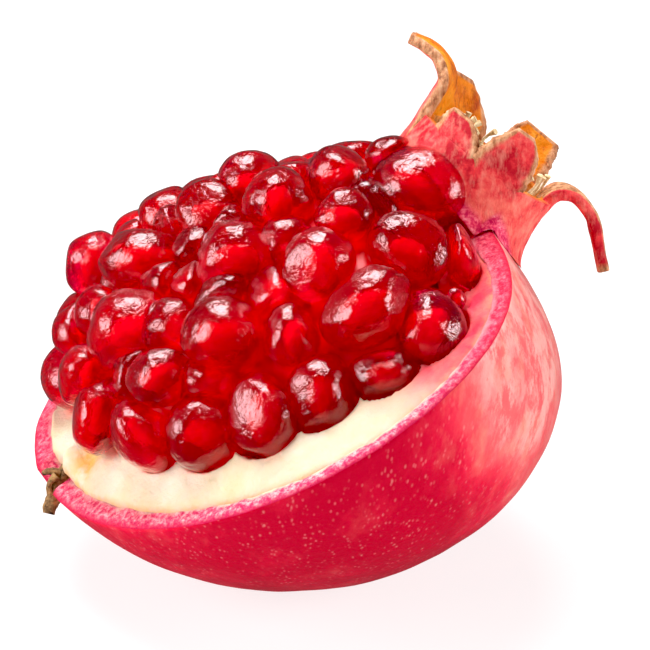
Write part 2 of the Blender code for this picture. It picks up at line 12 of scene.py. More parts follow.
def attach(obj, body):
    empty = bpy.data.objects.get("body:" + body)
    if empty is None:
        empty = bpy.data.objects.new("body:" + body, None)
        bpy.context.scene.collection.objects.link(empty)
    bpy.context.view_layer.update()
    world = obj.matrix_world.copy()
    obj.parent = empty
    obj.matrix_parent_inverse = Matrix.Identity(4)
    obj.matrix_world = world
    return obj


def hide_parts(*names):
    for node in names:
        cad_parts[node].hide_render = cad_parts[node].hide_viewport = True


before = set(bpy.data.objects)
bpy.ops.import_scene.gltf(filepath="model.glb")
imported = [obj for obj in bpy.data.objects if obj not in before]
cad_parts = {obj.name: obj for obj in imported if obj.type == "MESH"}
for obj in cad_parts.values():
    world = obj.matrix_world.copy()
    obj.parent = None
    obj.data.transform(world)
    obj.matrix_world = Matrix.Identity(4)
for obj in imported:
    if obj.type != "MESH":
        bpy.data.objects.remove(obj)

MM = 0.001

# Fruit body, a turned shape about the axis from stem to crown
RADIUS = 42.0 * MM
STEM_LENGTH = 43.3 * MM
CROWN_LENGTH = 25.9 * MM
STEM_POWER = 1.076
CROWN_POWER = 0.478

# How the fruit lies, and the cut that took its lid off
CENTRE = Vector((0.5, 0.2, 41.0)) * MM
CROWN_RISE = math.radians(37.7)
CROWN_HEADING = math.radians(13.1)
CUT_DROP = 3.26 * MM
CUT_PITCH = math.radians(5.5)
CUT_ROLL = math.radians(4.25)
BACK_START = 3.0 * MM
BACK_DIP = math.radians(9)

# The view, 650 pixels square
VIEW_RISE = math.radians(22)
VIEW_DISTANCE = 480.0 * MM
VIEW_FOCAL = 3509.0
VIEW_MIDDLE = 325.0
VIEW_PIXELS = 650
VIEW_CENTRE = Vector((-4.609, 5.613, 2.154)) * MM
SENSOR = 36.0

# The bed of arils: along the fruit, across it, and up or down
BED_MIDDLE = Vector((-8.1, 0, -1.3)) * MM
BED_STEMWARD = 31.7 * MM
BED_CROWNWARD = 32.3 * MM
BED_WIDTH = 34.2 * MM
BED_HEIGHT = 22.3 * MM
BED_DEPTH = 29.0 * MM
BED_SQUARENESS = 5
BACK_SLOPE = Vector((0.39, 0.46, 0.80))
BACK_REACH = 19.6 * MM
SIGHT_STEP = 0.2 * MM
CAVITY_INSET = 4.6 * MM
CORE_INSET = 6.4 * MM
ARIL_RADIUS = 4.9 * MM
ARIL_SPACING = 7.7 * MM
FILLER_INSET = 7.4 * MM
FILLER_SPACING = 6.3 * MM
FILLER_LOW = 5.0 * MM
FRONT_FACING = 0.05
FOOT_RISE = 0.4
FOOT_BACK = 0.3
SPIRAL_STEPS = 1500
HIDDEN_SHARES = ((0.94, 1.08), (0.88, 1.0), (0.95, 1.1))  # their spread in size, width and length
SEED = 11

# Middle across and down, half length and half width in pixels, tilt in degrees, millimetres nearer
FRONT_ARILS = {
    "top_1": (95, 265, 33, 29, 90, 0),
    "top_2": (135, 237, 19, 18, 0, -4),
    "top_3": (170, 221, 33, 33, 0, 0),
    "top_4": (251, 186, 33, 33, 0, 0),
    "top_5": (299, 195, 33, 33, 0, -5),
    "top_6": (339, 178, 33, 31, 15, 0),
    "top_7": (393, 160, 27, 22, 0, 9),
    "top_8": (419, 190, 48, 40, -20, 10),
    "second_1": (144, 262, 46, 33, 0, 0),
    "second_2": (213, 216, 37, 35, 0, 0),
    "second_3": (279, 206, 35, 33, 90, 0),
    "second_4": (344, 218, 29, 28, 0, -1),
    "third_1": (100, 312, 27, 24, 90, -2),
    "third_2": (134, 333, 44, 41, 0, 1),
    "third_3": (237, 260, 40, 39, 0, 1),
    "third_4": (320, 267, 37, 35, 90, 0),
    "third_5": (409, 254, 43, 38, -30, 1),
    "third_6": (459, 258, 36, 18, -75, 6),
    "third_7": (457, 300, 13, 12, 90, 0),
    "fourth_1": (82, 331, 31, 27, 90, 0),
    "fourth_2": (88, 378, 32, 28, 80, 0),
    "fourth_3": (160, 377, 34, 28, 30, 0),
    "fourth_4": (223, 337, 39, 37, 0, 1),
    "fourth_5": (292, 339, 34, 29, 90, -1),
    "fourth_6": (366, 309, 50, 37, 35, 1),
    "fourth_7": (428, 332, 40, 37, 60, 2),
    "bottom_1": (99, 415, 38, 27, 75, 0),
    "bottom_2": (143, 434, 42, 29, -40, 0),
    "bottom_3": (206, 433, 38, 36, 0, 0),
    "bottom_4": (265, 416, 42, 38, 90, 0),
    "bottom_5": (322, 397, 42, 38, 90, 0),
    "bottom_6": (386, 376, 37, 29, 10, 0),
}

# Calyx and sepals: bearing in degrees from the front towards the right, half widths, and the
# middle line as (up from the mouth, out from the axis, sideways), in millimetres
CALYX_FOOT = Vector((25.1, -1.2, 0.1)) * MM
CALYX_LEAN = math.radians(21.3)
CALYX_TURN = math.radians(-27.5)
CALYX_LENGTH = 7.2 * MM
CALYX_RADIUS = 10.8 * MM
CALYX_WALL = 1.7 * MM
SEPALS = {
    "sepal_tall": (-97, (4.8, 4.5, 4.0, 3.2, 2.7, 2.3),
                   ((-5.0, 10.3, 0), (2.0, 10.5, 0), (5.2, 11.2, 0), (6.8, 13.4, 0),
                    (7.1, 15.8, 0), (6.6, 18.0, 0))),
    "sepal_back": (-140, (5.0, 4.8, 3.8, 1.6),
                   ((-2.5, 9.9, 0), (1.5, 10.1, 0.4), (3.8, 10.6, 1.3), (6.2, 11.3, 2.6))),
    "sepal_short": (-29, (4.2, 3.8, 3.1, 1.7),
                    ((-2.5, 9.9, 0), (0.6, 10.1, 0), (2.4, 10.2, -0.6), (3.7, 10.4, -1.2))),
    "sepal_front": (14, (4.4, 4.1, 3.0, 1.2),
                    ((-2.5, 9.9, 0), (2.0, 10.2, 0), (4.8, 10.3, 0.1), (6.9, 10.0, -0.3))),
    "sepal_drooping": (98, (3.4, 2.9, 2.5, 2.1, 1.8, 1.7, 1.6),
                       ((-2.5, 9.9, 0), (1.2, 10.4, 0), (2.6, 12.2, 0), (2.3, 14.9, 0),
                        (1.0, 17.3, 0), (-1.2, 19.6, 0), (-3.4, 22.1, 0))),
    "sepal_right": (156, (4.6, 4.4, 3.9, 2.9),
                    ((-2.5, 9.9, 0), (1.5, 10.1, 0), (4.2, 10.3, 0), (6.0, 10.5, 0))),
}
SEPAL_THICKNESS = {"sepal_tall": 2.0 * MM, "sepal_back": 1.3 * MM, "sepal_short": 1.4 * MM,
                   "sepal_front": 1.5 * MM, "sepal_drooping": 1.9 * MM, "sepal_right": 1.3 * MM}

STEM_LINE = (  # in the view's frame: right, up, near, and radius, in millimetres
    ((-33.8, -18.6, -0.4), 1.2),
    ((-35.4, -20.4, -0.3), 1.3),
    ((-36.3, -21.5, -0.2), 1.15),
    ((-36.7, -23.0, 0.1), 1.05),
    ((-37.5, -24.6, 0.3), 1.0),
    ((-37.8, -25.8, 0.4), 0.8),
)


def axes_frame(origin, z_axis, x_hint):
    """The matrix of a frame with that Z axis, and X as near the hint as it can be."""
    z = z_axis.normalized()
    x = (x_hint - z * x_hint.dot(z)).normalized()
    axes = Matrix((x, z.cross(x), z)).transposed()
    return Matrix.Translation(origin) @ axes.to_4x4()


def fruit_frame():
    axis = Vector((math.cos(CROWN_RISE) * math.cos(CROWN_HEADING),
                   math.cos(CROWN_RISE) * math.sin(CROWN_HEADING), math.sin(CROWN_RISE)))
    return axes_frame(CENTRE, axis, Vector((0, 0, 1)))


def cut_frame():
    """X runs along the cut towards the crown, Y away from the viewer, and Z stands on the cut."""
    axes = FRUIT.to_3x3()
    across = axes.col[0] * math.cos(CUT_ROLL) + axes.col[1] * math.sin(CUT_ROLL)
    normal = across * math.cos(CUT_PITCH) + axes.col[2] * math.sin(CUT_PITCH)
    return axes_frame(CENTRE - normal * CUT_DROP, normal, axes.col[2])


def calyx_frame():
    """Z runs out of the calyx's mouth, from its foot, and -Y faces the front."""
    lean = Vector((math.cos(CALYX_LEAN), 0, math.sin(CALYX_LEAN)))
    turn = Matrix.Rotation(CALYX_TURN, 4, "Z")
    return CUT @ axes_frame(CALYX_FOOT, lean, Vector((0, 0, -1))) @ turn


def view_frame():
    """X runs right, Y up and Z towards the eye, from the middle of the view."""
    up = Vector((0, math.sin(VIEW_RISE), math.cos(VIEW_RISE)))
    near = Vector((0, -math.cos(VIEW_RISE), math.sin(VIEW_RISE)))
    axes = Matrix((Vector((1, 0, 0)), up, near)).transposed()
    return Matrix.Translation(CENTRE - axes @ VIEW_CENTRE) @ axes.to_4x4()


FRUIT = fruit_frame()
CUT = cut_frame()
CALYX = calyx_frame()
VIEW = view_frame()
CUT_TO_FRUIT = FRUIT.inverted() @ CUT
VIEW_TO_CUT = CUT.inverted() @ VIEW
CALYX_TO_CUT = CUT.inverted() @ CALYX
DOWN = Vector((0, 0, -1))


# Camera, light and floor

FILM_BLACK = 0.012
WORLD_LIGHT = 0.11
FLOOR_GLOW = 0.80  # the floor is a light table, so that it hardly shows a shadow
FLOOR_REACH = 3.0
LIGHTS = (  # name, place in metres from the fruit's middle, size, power, and whether it is mirrored
    ("top_box", (-0.06, 0.11, 0.41), 0.30, 3.1, True),
    ("left_box", (-0.47, -0.14, 0.15), 0.32, 2.5, True),
    ("right_box", (0.46, -0.08, 0.12), 0.20, 1.3, True),
    ("front_fill", (0.12, -0.50, 0.16), 0.40, 0.6, False),
)


def add_camera():
    camera = bpy.data.cameras.new("camera")
    camera.sensor_width = SENSOR
    camera.lens = VIEW_FOCAL * SENSOR / VIEW_PIXELS
    camera.clip_start = 10 * MM
    eye = bpy.data.objects.new("camera", camera)
    eye.matrix_world = VIEW @ Matrix.Translation((0, 0, VIEW_DISTANCE))
    bpy.context.collection.objects.link(eye)
    bpy.context.scene.camera = eye


def add_light(name, place, size, power, mirrored):
    """A soft box that faces the fruit."""
    lamp = bpy.data.lights.new(name, "AREA")
    lamp.size = size
    lamp.energy = power
    box = bpy.data.objects.new(name, lamp)
    box.visible_glossy = mirrored
    box.matrix_world = axes_frame(CENTRE + Vector(place), Vector(place), Vector((1, 0, 0.01)))
    bpy.context.collection.objects.link(box)


def add_studio():
    world = bpy.data.worlds.new("studio")
    world.use_nodes = True
    shader = world.node_tree.nodes["Background"]
    shader.inputs["Color"].default_value = (1, 0.98, 0.97, 1)
    shader.inputs["Strength"].default_value = WORLD_LIGHT
    bpy.context.scene.world = world
    film = bpy.context.scene.view_settings
    film.view_transform = "Standard"
    film.use_curve_mapping = True
    film.curve_mapping.black_level = (FILM_BLACK,) * 3
    for light in LIGHTS:
        add_light(*light)
    mesh = bpy.data.meshes.new("floor")
    reach = FLOOR_REACH
    mesh.from_pydata([(-reach, -reach, 0), (reach, -reach, 0), (reach, reach, 0), (-reach, reach, 0)],
                     [], [(0, 1, 2, 3)])
    floor = bpy.data.objects.new("floor", mesh)
    bpy.context.collection.objects.link(floor)
    paint = Paint("floor_paper")
    grain = paint.noise(120, detail=4)
    paint.link(paint.mix_colour(grain, (0.26, 0.26, 0.26, 1), (0.28, 0.28, 0.28, 1)), "Base Color")
    paint.set(Roughness=0.9, Specular_IOR_Level=0.1, Emission_Color=(1, 1, 1, 1),
              Emission_Strength=FLOOR_GLOW)
    mesh.materials.append(paint.material)
    floor.visible_glossy = False


# Materials

class Paint:
    """A Principled material and short ways to add the nodes that vary it."""

    def __init__(self, name):
        self.material = bpy.data.materials.new(name)
        self.material.use_nodes = True
        self.tree = self.material.node_tree
        self.shader = self.tree.nodes["Principled BSDF"]

    def set(self, **values):
        for key, value in values.items():
            self.shader.inputs[key.replace("_", " ")].default_value = value

    def node(self, kind, **settings):
        made = self.tree.nodes.new(kind)
        for key, value in settings.items():
            setattr(made, key, value)
        return made

    def join(self, source, target):
        self.tree.links.new(source, target)

    def link(self, source, socket):
        self.tree.links.new(source, self.shader.inputs[socket])

    def place(self, stretch=(1, 1, 1), turn=(0, 0, 0)):
        """The point's place in the frame's own metres, turned and stretched."""
        where = self.node("ShaderNodeTexCoord")
        change = self.node("ShaderNodeMapping")
        change.inputs["Scale"].default_value = stretch
        change.inputs["Rotation"].default_value = turn
        self.join(where.outputs["Object"], change.inputs["Vector"])
        return change.outputs["Vector"]

    def noise(self, scale, detail=3, rough=0.5, place=None):
        made = self.node("ShaderNodeTexNoise")
        made.inputs["Scale"].default_value = scale
        made.inputs["Detail"].default_value = detail
        made.inputs["Roughness"].default_value = rough
        self.join(place or self.place(), made.inputs["Vector"])
        return made.outputs["Fac"]

    def cells(self, scale, place):
        made = self.node("ShaderNodeTexVoronoi")
        made.inputs["Scale"].default_value = scale
        self.join(place, made.inputs["Vector"])
        return made.outputs["Distance"]

    def attribute(self, name):
        return self.node("ShaderNodeAttribute", attribute_name=name).outputs["Fac"]

    def ramp(self, factor, *stops):
        """A colour ramp: each stop is a place and a grey, or a place and a colour."""
        made = self.node("ShaderNodeValToRGB")
        marks = made.color_ramp.elements
        while len(marks) < len(stops):
            marks.new(0.5)
        for mark, (where, tone) in zip(marks, stops):
            mark.position = where
            mark.color = tone if isinstance(tone, tuple) else (tone, tone, tone, 1)
        self.join(factor, made.inputs["Fac"])
        return made.outputs["Color"]

    def mix_colour(self, factor, one, other, blend="MIX"):
        made = self.node("ShaderNodeMix", data_type="RGBA", blend_type=blend)
        for value, socket in ((factor, made.inputs[0]), (one, made.inputs[6]), (other, made.inputs[7])):
            if isinstance(value, (tuple, float, int)):
                socket.default_value = value
            else:
                self.join(value, socket)
        return made.outputs[2]

    def maths(self, operation, one, other=0.0, clamp=False):
        made = self.node("ShaderNodeMath", operation=operation, use_clamp=clamp)
        for value, socket in ((one, made.inputs[0]), (other, made.inputs[1])):
            if isinstance(value, (float, int)):
                socket.default_value = value
            else:
                self.join(value, socket)
        return made.outputs[0]

    def bump(self, *layers):
        """Layers of (height, millimetres), the last on top."""
        before = None
        for height, depth in layers:
            made = self.node("ShaderNodeBump")
            made.inputs["Distance"].default_value = depth * MM
            self.join(height, made.inputs["Height"])
            if before:
                self.join(before, made.inputs["Normal"])
            before = made.outputs["Normal"]
        self.link(before, "Normal")
        return before


def skin_material():
    """Crimson to coral, with fine pale specks drawn out along the fruit, and a soft gloss; the pale coral
    at the crown's shoulder is partly the skin's own colour and partly a painted highlight.
    """
    paint = Paint("pomegranate_skin")
    along = paint.place((1, 1, 0.45), (0, -0.66, 0))
    cloud = paint.maths("SUBTRACT", paint.noise(130, 6, 0.68, along), 0.5)
    # The mask from crimson to pale coral: its pale end at the crown's shoulder is partly a painted
    # highlight.
    blush_and_highlight = paint.maths("ADD", paint.attribute("blush_and_highlight"), paint.maths("MULTIPLY", cloud, 1.1))
    base = paint.ramp(blush_and_highlight, (0.0, (0.58, 0.0, 0.026, 1)), (0.32, (0.74, 0.002, 0.040, 1)),
                      (0.52, (0.87, 0.03, 0.07, 1)), (0.74, (0.94, 0.14, 0.15, 1)),
                      (1.0, (0.98, 0.42, 0.38, 1)))
    mottle = paint.ramp(paint.noise(420, 6, 0.75, along), (0.46, 0.0), (0.58, 0.8))
    base = paint.mix_colour(paint.maths("MULTIPLY", mottle, blush_and_highlight, True), base, (0.86, 0.06, 0.08, 1))
    streaks = paint.noise(330, 4, 0.65, along)
    streak = paint.maths("MULTIPLY", paint.ramp(streaks, (0.5, 0.0), (0.72, 0.6)), blush_and_highlight)
    base = paint.mix_colour(streak, base, (0.93, 0.33, 0.22, 1))
    fine = paint.cells(1500, along)
    patch = paint.ramp(paint.noise(420, 3), (0.44, 0.0), (0.60, 1.0))
    specks = paint.maths("MULTIPLY", paint.ramp(fine, (0.16, 1.0), (0.34, 0.0)), patch)
    base = paint.mix_colour(paint.maths("MULTIPLY", specks, 0.42), base, (0.90, 0.20, 0.22, 1))
    coarse = paint.cells(800, along)
    rare = paint.ramp(paint.noise(170, 3), (0.44, 0.0), (0.58, 1.0))
    fleck = paint.maths("MULTIPLY", paint.ramp(coarse, (0.05, 1.0), (0.20, 0.0)), rare)
    base = paint.mix_colour(paint.maths("MULTIPLY", fleck, 0.42), base, (0.93, 0.36, 0.32, 1))
    paint.link(base, "Base Color")
    paint.set(Roughness=0.34, Specular_IOR_Level=0.38, Specular_Tint=(1, 0.55, 0.62, 1),
              Subsurface_Weight=0.10, Subsurface_Scale=2 * MM)
    paint.shader.inputs["Subsurface Radius"].default_value = (1.0, 0.1, 0.1)
    paint.bump((paint.noise(90, 4), 0.35), (coarse, 0.08), (paint.noise(1500, 3), 0.03))
    return paint.material


def flesh_material():
    """The cut edge of the rind: a magenta line, then granular pink that fades into the pith."""
    paint = Paint("cut_edge")
    grain = paint.noise(1300, 4, 0.75)
    across = paint.attribute("across")
    base = paint.ramp(grain, (0.40, (0.64, 0.012, 0.11, 1)), (0.49, (0.86, 0.12, 0.22, 1)),
                      (0.57, (0.93, 0.34, 0.38, 1)), (0.70, (0.97, 0.62, 0.62, 1)))
    line = paint.ramp(across, (0.02, 1.0), (0.28, 0.0))
    base = paint.mix_colour(line, base, (0.72, 0.008, 0.09, 1))
    base = paint.mix_colour(paint.maths("MULTIPLY", paint.attribute("blush_and_highlight"), 0.8), base,
                            (0.93, 0.25, 0.40, 1), "MULTIPLY")
    fade = paint.maths("ADD", across, paint.maths("SUBTRACT", paint.noise(420, 3), 0.5))
    flesh = paint.mix_colour(paint.attribute("blush_and_highlight"), (0.88, 0.72, 0.50, 1), (0.90, 0.25, 0.30, 1))
    base = paint.mix_colour(paint.ramp(fade, (0.72, 0.0), (1.05, 1.0)), base, flesh)
    paint.link(base, "Base Color")
    paint.set(Roughness=0.5, Specular_IOR_Level=0.3, Subsurface_Weight=0.2, Subsurface_Scale=1 * MM)
    paint.bump((grain, 0.4))
    return paint.material


def pith_material():
    """Cream, soft and a little wet, pink or stained where the attributes say so."""
    paint = Paint("pith_flesh")
    soft = paint.noise(160, 5, 0.6)
    base = paint.ramp(soft, (0.3, (0.78, 0.62, 0.39, 1)), (0.6, (0.80, 0.66, 0.51, 1)))
    patches = paint.ramp(paint.noise(300, 4), (0.3, 0.75), (0.6, 1.0))
    blotch = paint.maths("MULTIPLY", paint.attribute("pink"), patches)
    base = paint.mix_colour(blotch, base, (0.82, 0.03, 0.08, 1))
    flecks = paint.ramp(paint.noise(520, 4), (0.36, 0.1), (0.56, 1.0))
    spots = paint.maths("MULTIPLY", paint.attribute("stain"), flecks)
    base = paint.mix_colour(spots, base, (0.80, 0.45, 0.12, 1))
    paint.link(base, "Base Color")
    paint.set(Roughness=0.55, Specular_IOR_Level=0.3, Subsurface_Weight=0.3, Subsurface_Scale=2 * MM)
    paint.shader.inputs["Subsurface Radius"].default_value = (1.0, 0.6, 0.3)
    paint.bump((paint.noise(350, 4), 0.4), (paint.noise(1100, 4, 0.7), 0.22))
    return paint.material


def aril_material():
    """Clear ruby juice in a taut wet skin with fine wrinkles."""
    paint = Paint("aril_juice")
    tone = paint.attribute("tone")
    base = paint.mix_colour(tone, (0.82, 0.001, 0.042, 1), (1.0, 0.003, 0.075, 1))
    paint.link(base, "Base Color")
    film = paint.ramp(paint.noise(700, 4, 0.7), (0.45, 0.01), (0.70, 0.08))
    paint.link(film, "Roughness")
    paint.set(IOR=1.40, Transmission_Weight=0.92, Specular_Tint=(1, 0.8, 0.85, 1), Coat_Weight=1.0,
              Coat_Roughness=0.03, Subsurface_Weight=0.6, Subsurface_Scale=4 * MM)
    paint.shader.inputs["Subsurface Radius"].default_value = (1.0, 0.05, 0.05)
    wrinkles = paint.bump((paint.noise(260, 2, 0.4), 0.4), (paint.noise(560, 4, 0.6), 0.33))
    paint.link(wrinkles, "Coat Normal")
    return paint.material


def seed_material():
    paint = Paint("aril_seed")
    grain = paint.noise(700, 3)
    paint.link(paint.ramp(grain, (0.3, (0.88, 0.05, 0.04, 1)), (0.7, (1.0, 0.16, 0.12, 1))), "Base Color")
    paint.set(Roughness=0.6)
    return paint.material


def core_material():
    paint = Paint("aril_core")
    grain = paint.noise(300, 3)
    paint.link(paint.ramp(grain, (0.3, (0.60, 0.0, 0.008, 1)), (0.7, (0.80, 0.0, 0.015, 1))), "Base Color")
    paint.set(Roughness=0.35)
    return paint.material


def calyx_material():
    """Coral red outside, orange inside, tan-brown and fibrous at the edges, magenta where it is cut."""
    paint = Paint("calyx_skin")
    blotch = paint.noise(210, 5, 0.65)
    fibres = paint.noise(1100, 4, 0.7, paint.place((1, 1, 0.3)))
    # Darkens the outer face towards deep crimson: the calyx's own flush, and on the tube's left and the
    # short sepal a painted shade.
    shade = paint.maths("SUBTRACT", blotch, paint.maths("MULTIPLY", paint.attribute("flush_and_shade"), 0.17))
    outer = paint.ramp(shade, (0.32, (0.50, 0.006, 0.020, 1)), (0.42, (0.80, 0.045, 0.055, 1)),
                       (0.54, (0.92, 0.15, 0.12, 1)), (0.72, (0.95, 0.28, 0.19, 1)))
    outer = paint.mix_colour(paint.ramp(fibres, (0.46, 0.0), (0.70, 0.45)), outer, (0.95, 0.38, 0.28, 1))
    inner = paint.ramp(blotch, (0.3, (0.45, 0.06, 0.008, 1)), (0.5, (0.86, 0.25, 0.012, 1)),
                       (0.75, (0.93, 0.40, 0.04, 1)))
    inner = paint.mix_colour(paint.ramp(fibres, (0.34, 0.6), (0.46, 0.0)), inner, (0.25, 0.05, 0.01, 1))
    base = paint.mix_colour(paint.attribute("inner"), outer, inner)
    tan = paint.ramp(fibres, (0.34, (0.22, 0.07, 0.03, 1)), (0.50, (0.56, 0.25, 0.12, 1)),
                     (0.68, (0.80, 0.47, 0.28, 1)))
    uneven = paint.maths("MULTIPLY", paint.maths("SUBTRACT", blotch, 0.5), 0.8)
    edge = paint.ramp(paint.maths("ADD", paint.attribute("dry"), uneven), (0.45, 0.0), (0.70, 1.0))
    base = paint.mix_colour(edge, base, tan)
    flesh = paint.ramp(paint.noise(1300, 4, 0.75), (0.40, (0.62, 0.008, 0.08, 1)),
                       (0.50, (0.85, 0.06, 0.15, 1)), (0.64, (0.95, 0.28, 0.34, 1)))
    base = paint.mix_colour(paint.attribute("cut"), base, flesh)
    paint.link(base, "Base Color")
    paint.set(Roughness=0.6, Specular_IOR_Level=0.25, Subsurface_Weight=0.1, Subsurface_Scale=1 * MM)
    paint.bump((paint.noise(260, 4, 0.6), 0.5), (fibres, 0.15))
    return paint.material


def dry_material(name, dark, light, scale, depth):
    """Dry fibrous matter between two colours."""
    paint = Paint(name)
    grain = paint.noise(scale, 5, 0.7)
    paint.link(paint.ramp(grain, (0.35, dark), (0.65, light)), "Base Color")
    paint.set(Roughness=0.8)
    paint.bump((grain, depth))
    return paint.material


# Shapes shared by several pieces

def add_piece(name, points, faces, material, node, matrix=CUT):
    """A mesh from points in a frame, put where the frame is, that stands for a node."""
    mesh = bpy.data.meshes.new(name)
    world = np.asarray(points, float) @ np.array(matrix.to_3x3()).T + np.array(matrix.translation)
    mesh.from_pydata(world.tolist(), [], faces if isinstance(faces, list) else faces.tolist())
    mesh.materials.append(material)
    mesh.shade_smooth()
    thing = bpy.data.objects.new(name, mesh)
    bpy.context.collection.objects.link(thing)
    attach(thing, "root")
    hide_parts(node)
    return thing


def add_attribute(thing, name, values):
    layer = thing.data.attributes.new(name, "FLOAT", "POINT")
    layer.data.foreach_set("value", np.asarray(values, np.float32))


def grid_faces(rows, columns):
    """Quads between rows of points, each of which closes on itself."""
    faces = []
    for row in range(rows - 1):
        for column in range(columns):
            ahead = (column + 1) % columns
            faces.append((row * columns + column, row * columns + ahead,
                          (row + 1) * columns + ahead, (row + 1) * columns + column))
    return faces


def add_rings(name, rings, material, node, matrix=CUT):
    """A piece from rings of points, each joined to the next."""
    points = [tuple(place) for ring in rings for place in ring]
    return add_piece(name, points, grid_faces(len(rings), len(rings[0])), material, node, matrix)


def around(sides):
    """Evenly spaced turns in a full circle."""
    return [2 * math.pi * i / sides for i in range(sides)]


def heading(turn):
    """The level direction at that turn, from the frame's X axis."""
    return Vector((math.cos(turn), math.sin(turn), 0))


def wave(point, scale, seed=0.0):
    """Smooth noise from -1 to 1, with features about one scale long."""
    return noise.noise(Vector(point) / scale + Vector((seed, seed * 0.7, -seed)))


def waves(point, layers):
    """The sum of layers of smooth noise, each a height, a scale and a seed."""
    return sum(height * wave(point, scale, seed) for height, scale, seed in layers)


def inside_body(point):
    """Whether a point of the cut's frame lies inside the body."""
    x, y, z = CUT_TO_FRUIT @ point
    length, power = (STEM_LENGTH, STEM_POWER) if z < 0 else (CROWN_LENGTH, CROWN_POWER)
    share = abs(z) / length
    if share >= 1:
        return False
    return math.hypot(x, y) < RADIUS * (1 - share * share) ** (power / 2)


def furthest(far, passes, halvings):
    """The greatest distance, up to far, that passes a test, found by halving."""
    near = 0.0
    for _ in range(halvings):
        half = (near + far) / 2
        if passes(half):
            near = half
        else:
            far = half
    return near


def reach_of_body(start, way):
    """How far a ray from inside the body runs before it leaves it."""
    return furthest(2.5 * RADIUS, lambda reach: inside_body(start + way * reach), 26)


def cut_level(y):
    """Height of the cut at that place across the fruit: it dips at the back."""
    return -max(0, y - BACK_START) * math.tan(BACK_DIP)


# Rind

RIND_SIDES = 420
RIND_ROWS = 84
BAND_ROWS = 8
BAND_WIDTH = 1.9 * MM
BAND_STEM = 0.9  # how much wider the cut edge is at the two ends of the fruit
BAND_CROWN = 1.45
RIM_WAVE = 0.35 * MM
RIM_WAVES = ((0.5, 1.6 * MM, 3), (0.5, 5 * MM, 9))  # shares of it, scales and seeds
RIM_ROUND = 0.5 * MM  # how far the cut edge rolls over into the skin
BAND_DEPTH = 2.5 * MM  # how far it goes down behind the pith
SKIN_WAVES = ((0.30 * MM, 14 * MM, 5), (0.10 * MM, 4 * MM, 2))
SKIN_SINK = 0.15 * MM
STEM_PLACE = Vector((-43.1, -0.9, 0)) * MM
NOTCH_RADIUS = 2.7 * MM
NOTCH_DEPTH = 2.6 * MM
FLAP_RISE = 2.8 * MM
FLAP_START = (118, 150)  # bearings in degrees, from the crown round the far side
FLAP_END = (160, 178)
SKIN_HEART = Vector((0, 0, -18 * MM))  # the skin's rows fan out from here


def notch_drop(place):
    """How far the rim dips for the stem at that place."""
    away = math.hypot(place.x - STEM_PLACE.x, place.y - STEM_PLACE.y) / NOTCH_RADIUS
    return NOTCH_DEPTH * math.sqrt(max(0, 1 - away * away))


def flap_rise(turn):
    """The rim stands higher beside the stem, on the far side."""
    bearing = math.degrees(turn)
    return FLAP_RISE * ease(bearing, *FLAP_START) * (1 - 0.5 * ease(bearing, *FLAP_END))


def rim_point(turn):
    """The body's outer edge on the cut, seen from the cut's middle."""
    way = heading(turn)
    point = way * reach_of_body(Vector((0, 0, 0)), way)
    rise = flap_rise(turn) if turn < math.pi else 0
    for _ in range(4):
        level = Vector((0, 0, cut_level(point.y) + rise - notch_drop(point)))
        point = level + way * reach_of_body(level, way)
    return point


def band_width(turn):
    """The cut edge is uneven, and wider at the two ends of the fruit."""
    ends = math.cos(turn) ** 2 * (BAND_CROWN if math.cos(turn) > 0 else BAND_STEM)
    uneven = wave((math.cos(turn) * RADIUS, math.sin(turn) * RADIUS, 0), 2.2 * MM, 4)
    return BAND_WIDTH * (1 + ends + 0.14 * uneven)


def resting(place):
    """Keeps a point from sinking under the table that the fruit rests on."""
    world = CUT @ place
    world.z = max(world.z, 0)
    return CUT.inverted() @ world


def make_rind():
    """The skin from the rim down, with the cut edge turned in at its top."""
    rings, across = [], []
    turns = around(RIND_SIDES)
    rims = [rim_point(turn) for turn in turns]
    for row in range(BAND_ROWS + 1):
        share = 1 - row / BAND_ROWS
        ring = []
        for turn, rim in zip(turns, rims):
            place = rim - heading(turn) * band_width(turn) * share
            height = RIM_WAVE * waves(place, RIM_WAVES) * min(1, 2 * share + 0.4)
            height -= RIM_ROUND * (1 - share) ** 6
            ring.append(place + Vector((0, 0, height)))
            across.append(share)
        rings.append(ring)
    rings.insert(0, [place - Vector((0, 0, BAND_DEPTH)) for place in rings[0]])
    across = [1.0] * RIND_SIDES + across
    for row in range(1, RIND_ROWS + 1):
        part = row / RIND_ROWS
        ring = []
        for rim in rims:
            start = (rim - SKIN_HEART).normalized()
            way = start.slerp(DOWN, 1 - (1 - part) ** 1.15) if part < 1 else DOWN
            place = SKIN_HEART + way * reach_of_body(SKIN_HEART, way)
            lump = waves(place, SKIN_WAVES) - SKIN_SINK
            ring.append(resting(place + way * lump * min(1, part * 12)))
            across.append(0.0)
        rings.append(ring)
    skin = add_rings("rind_skin", rings, skin_material(), "rind")
    skin.data.materials.append(flesh_material())
    band = (BAND_ROWS + 1) * RIND_SIDES
    for face in skin.data.polygons[:band]:
        face.material_index = 1
    add_attribute(skin, "across", across)
    add_attribute(skin, "blush_and_highlight", [blush_and_highlight_at(place) for ring in rings for place in ring])


def ease(value, low, high):
    """From 0 at the low value to 1 at the high one, smoothly."""
    share = min(max((value - low) / (high - low), 0), 1)
    return share * share * (3 - 2 * share)


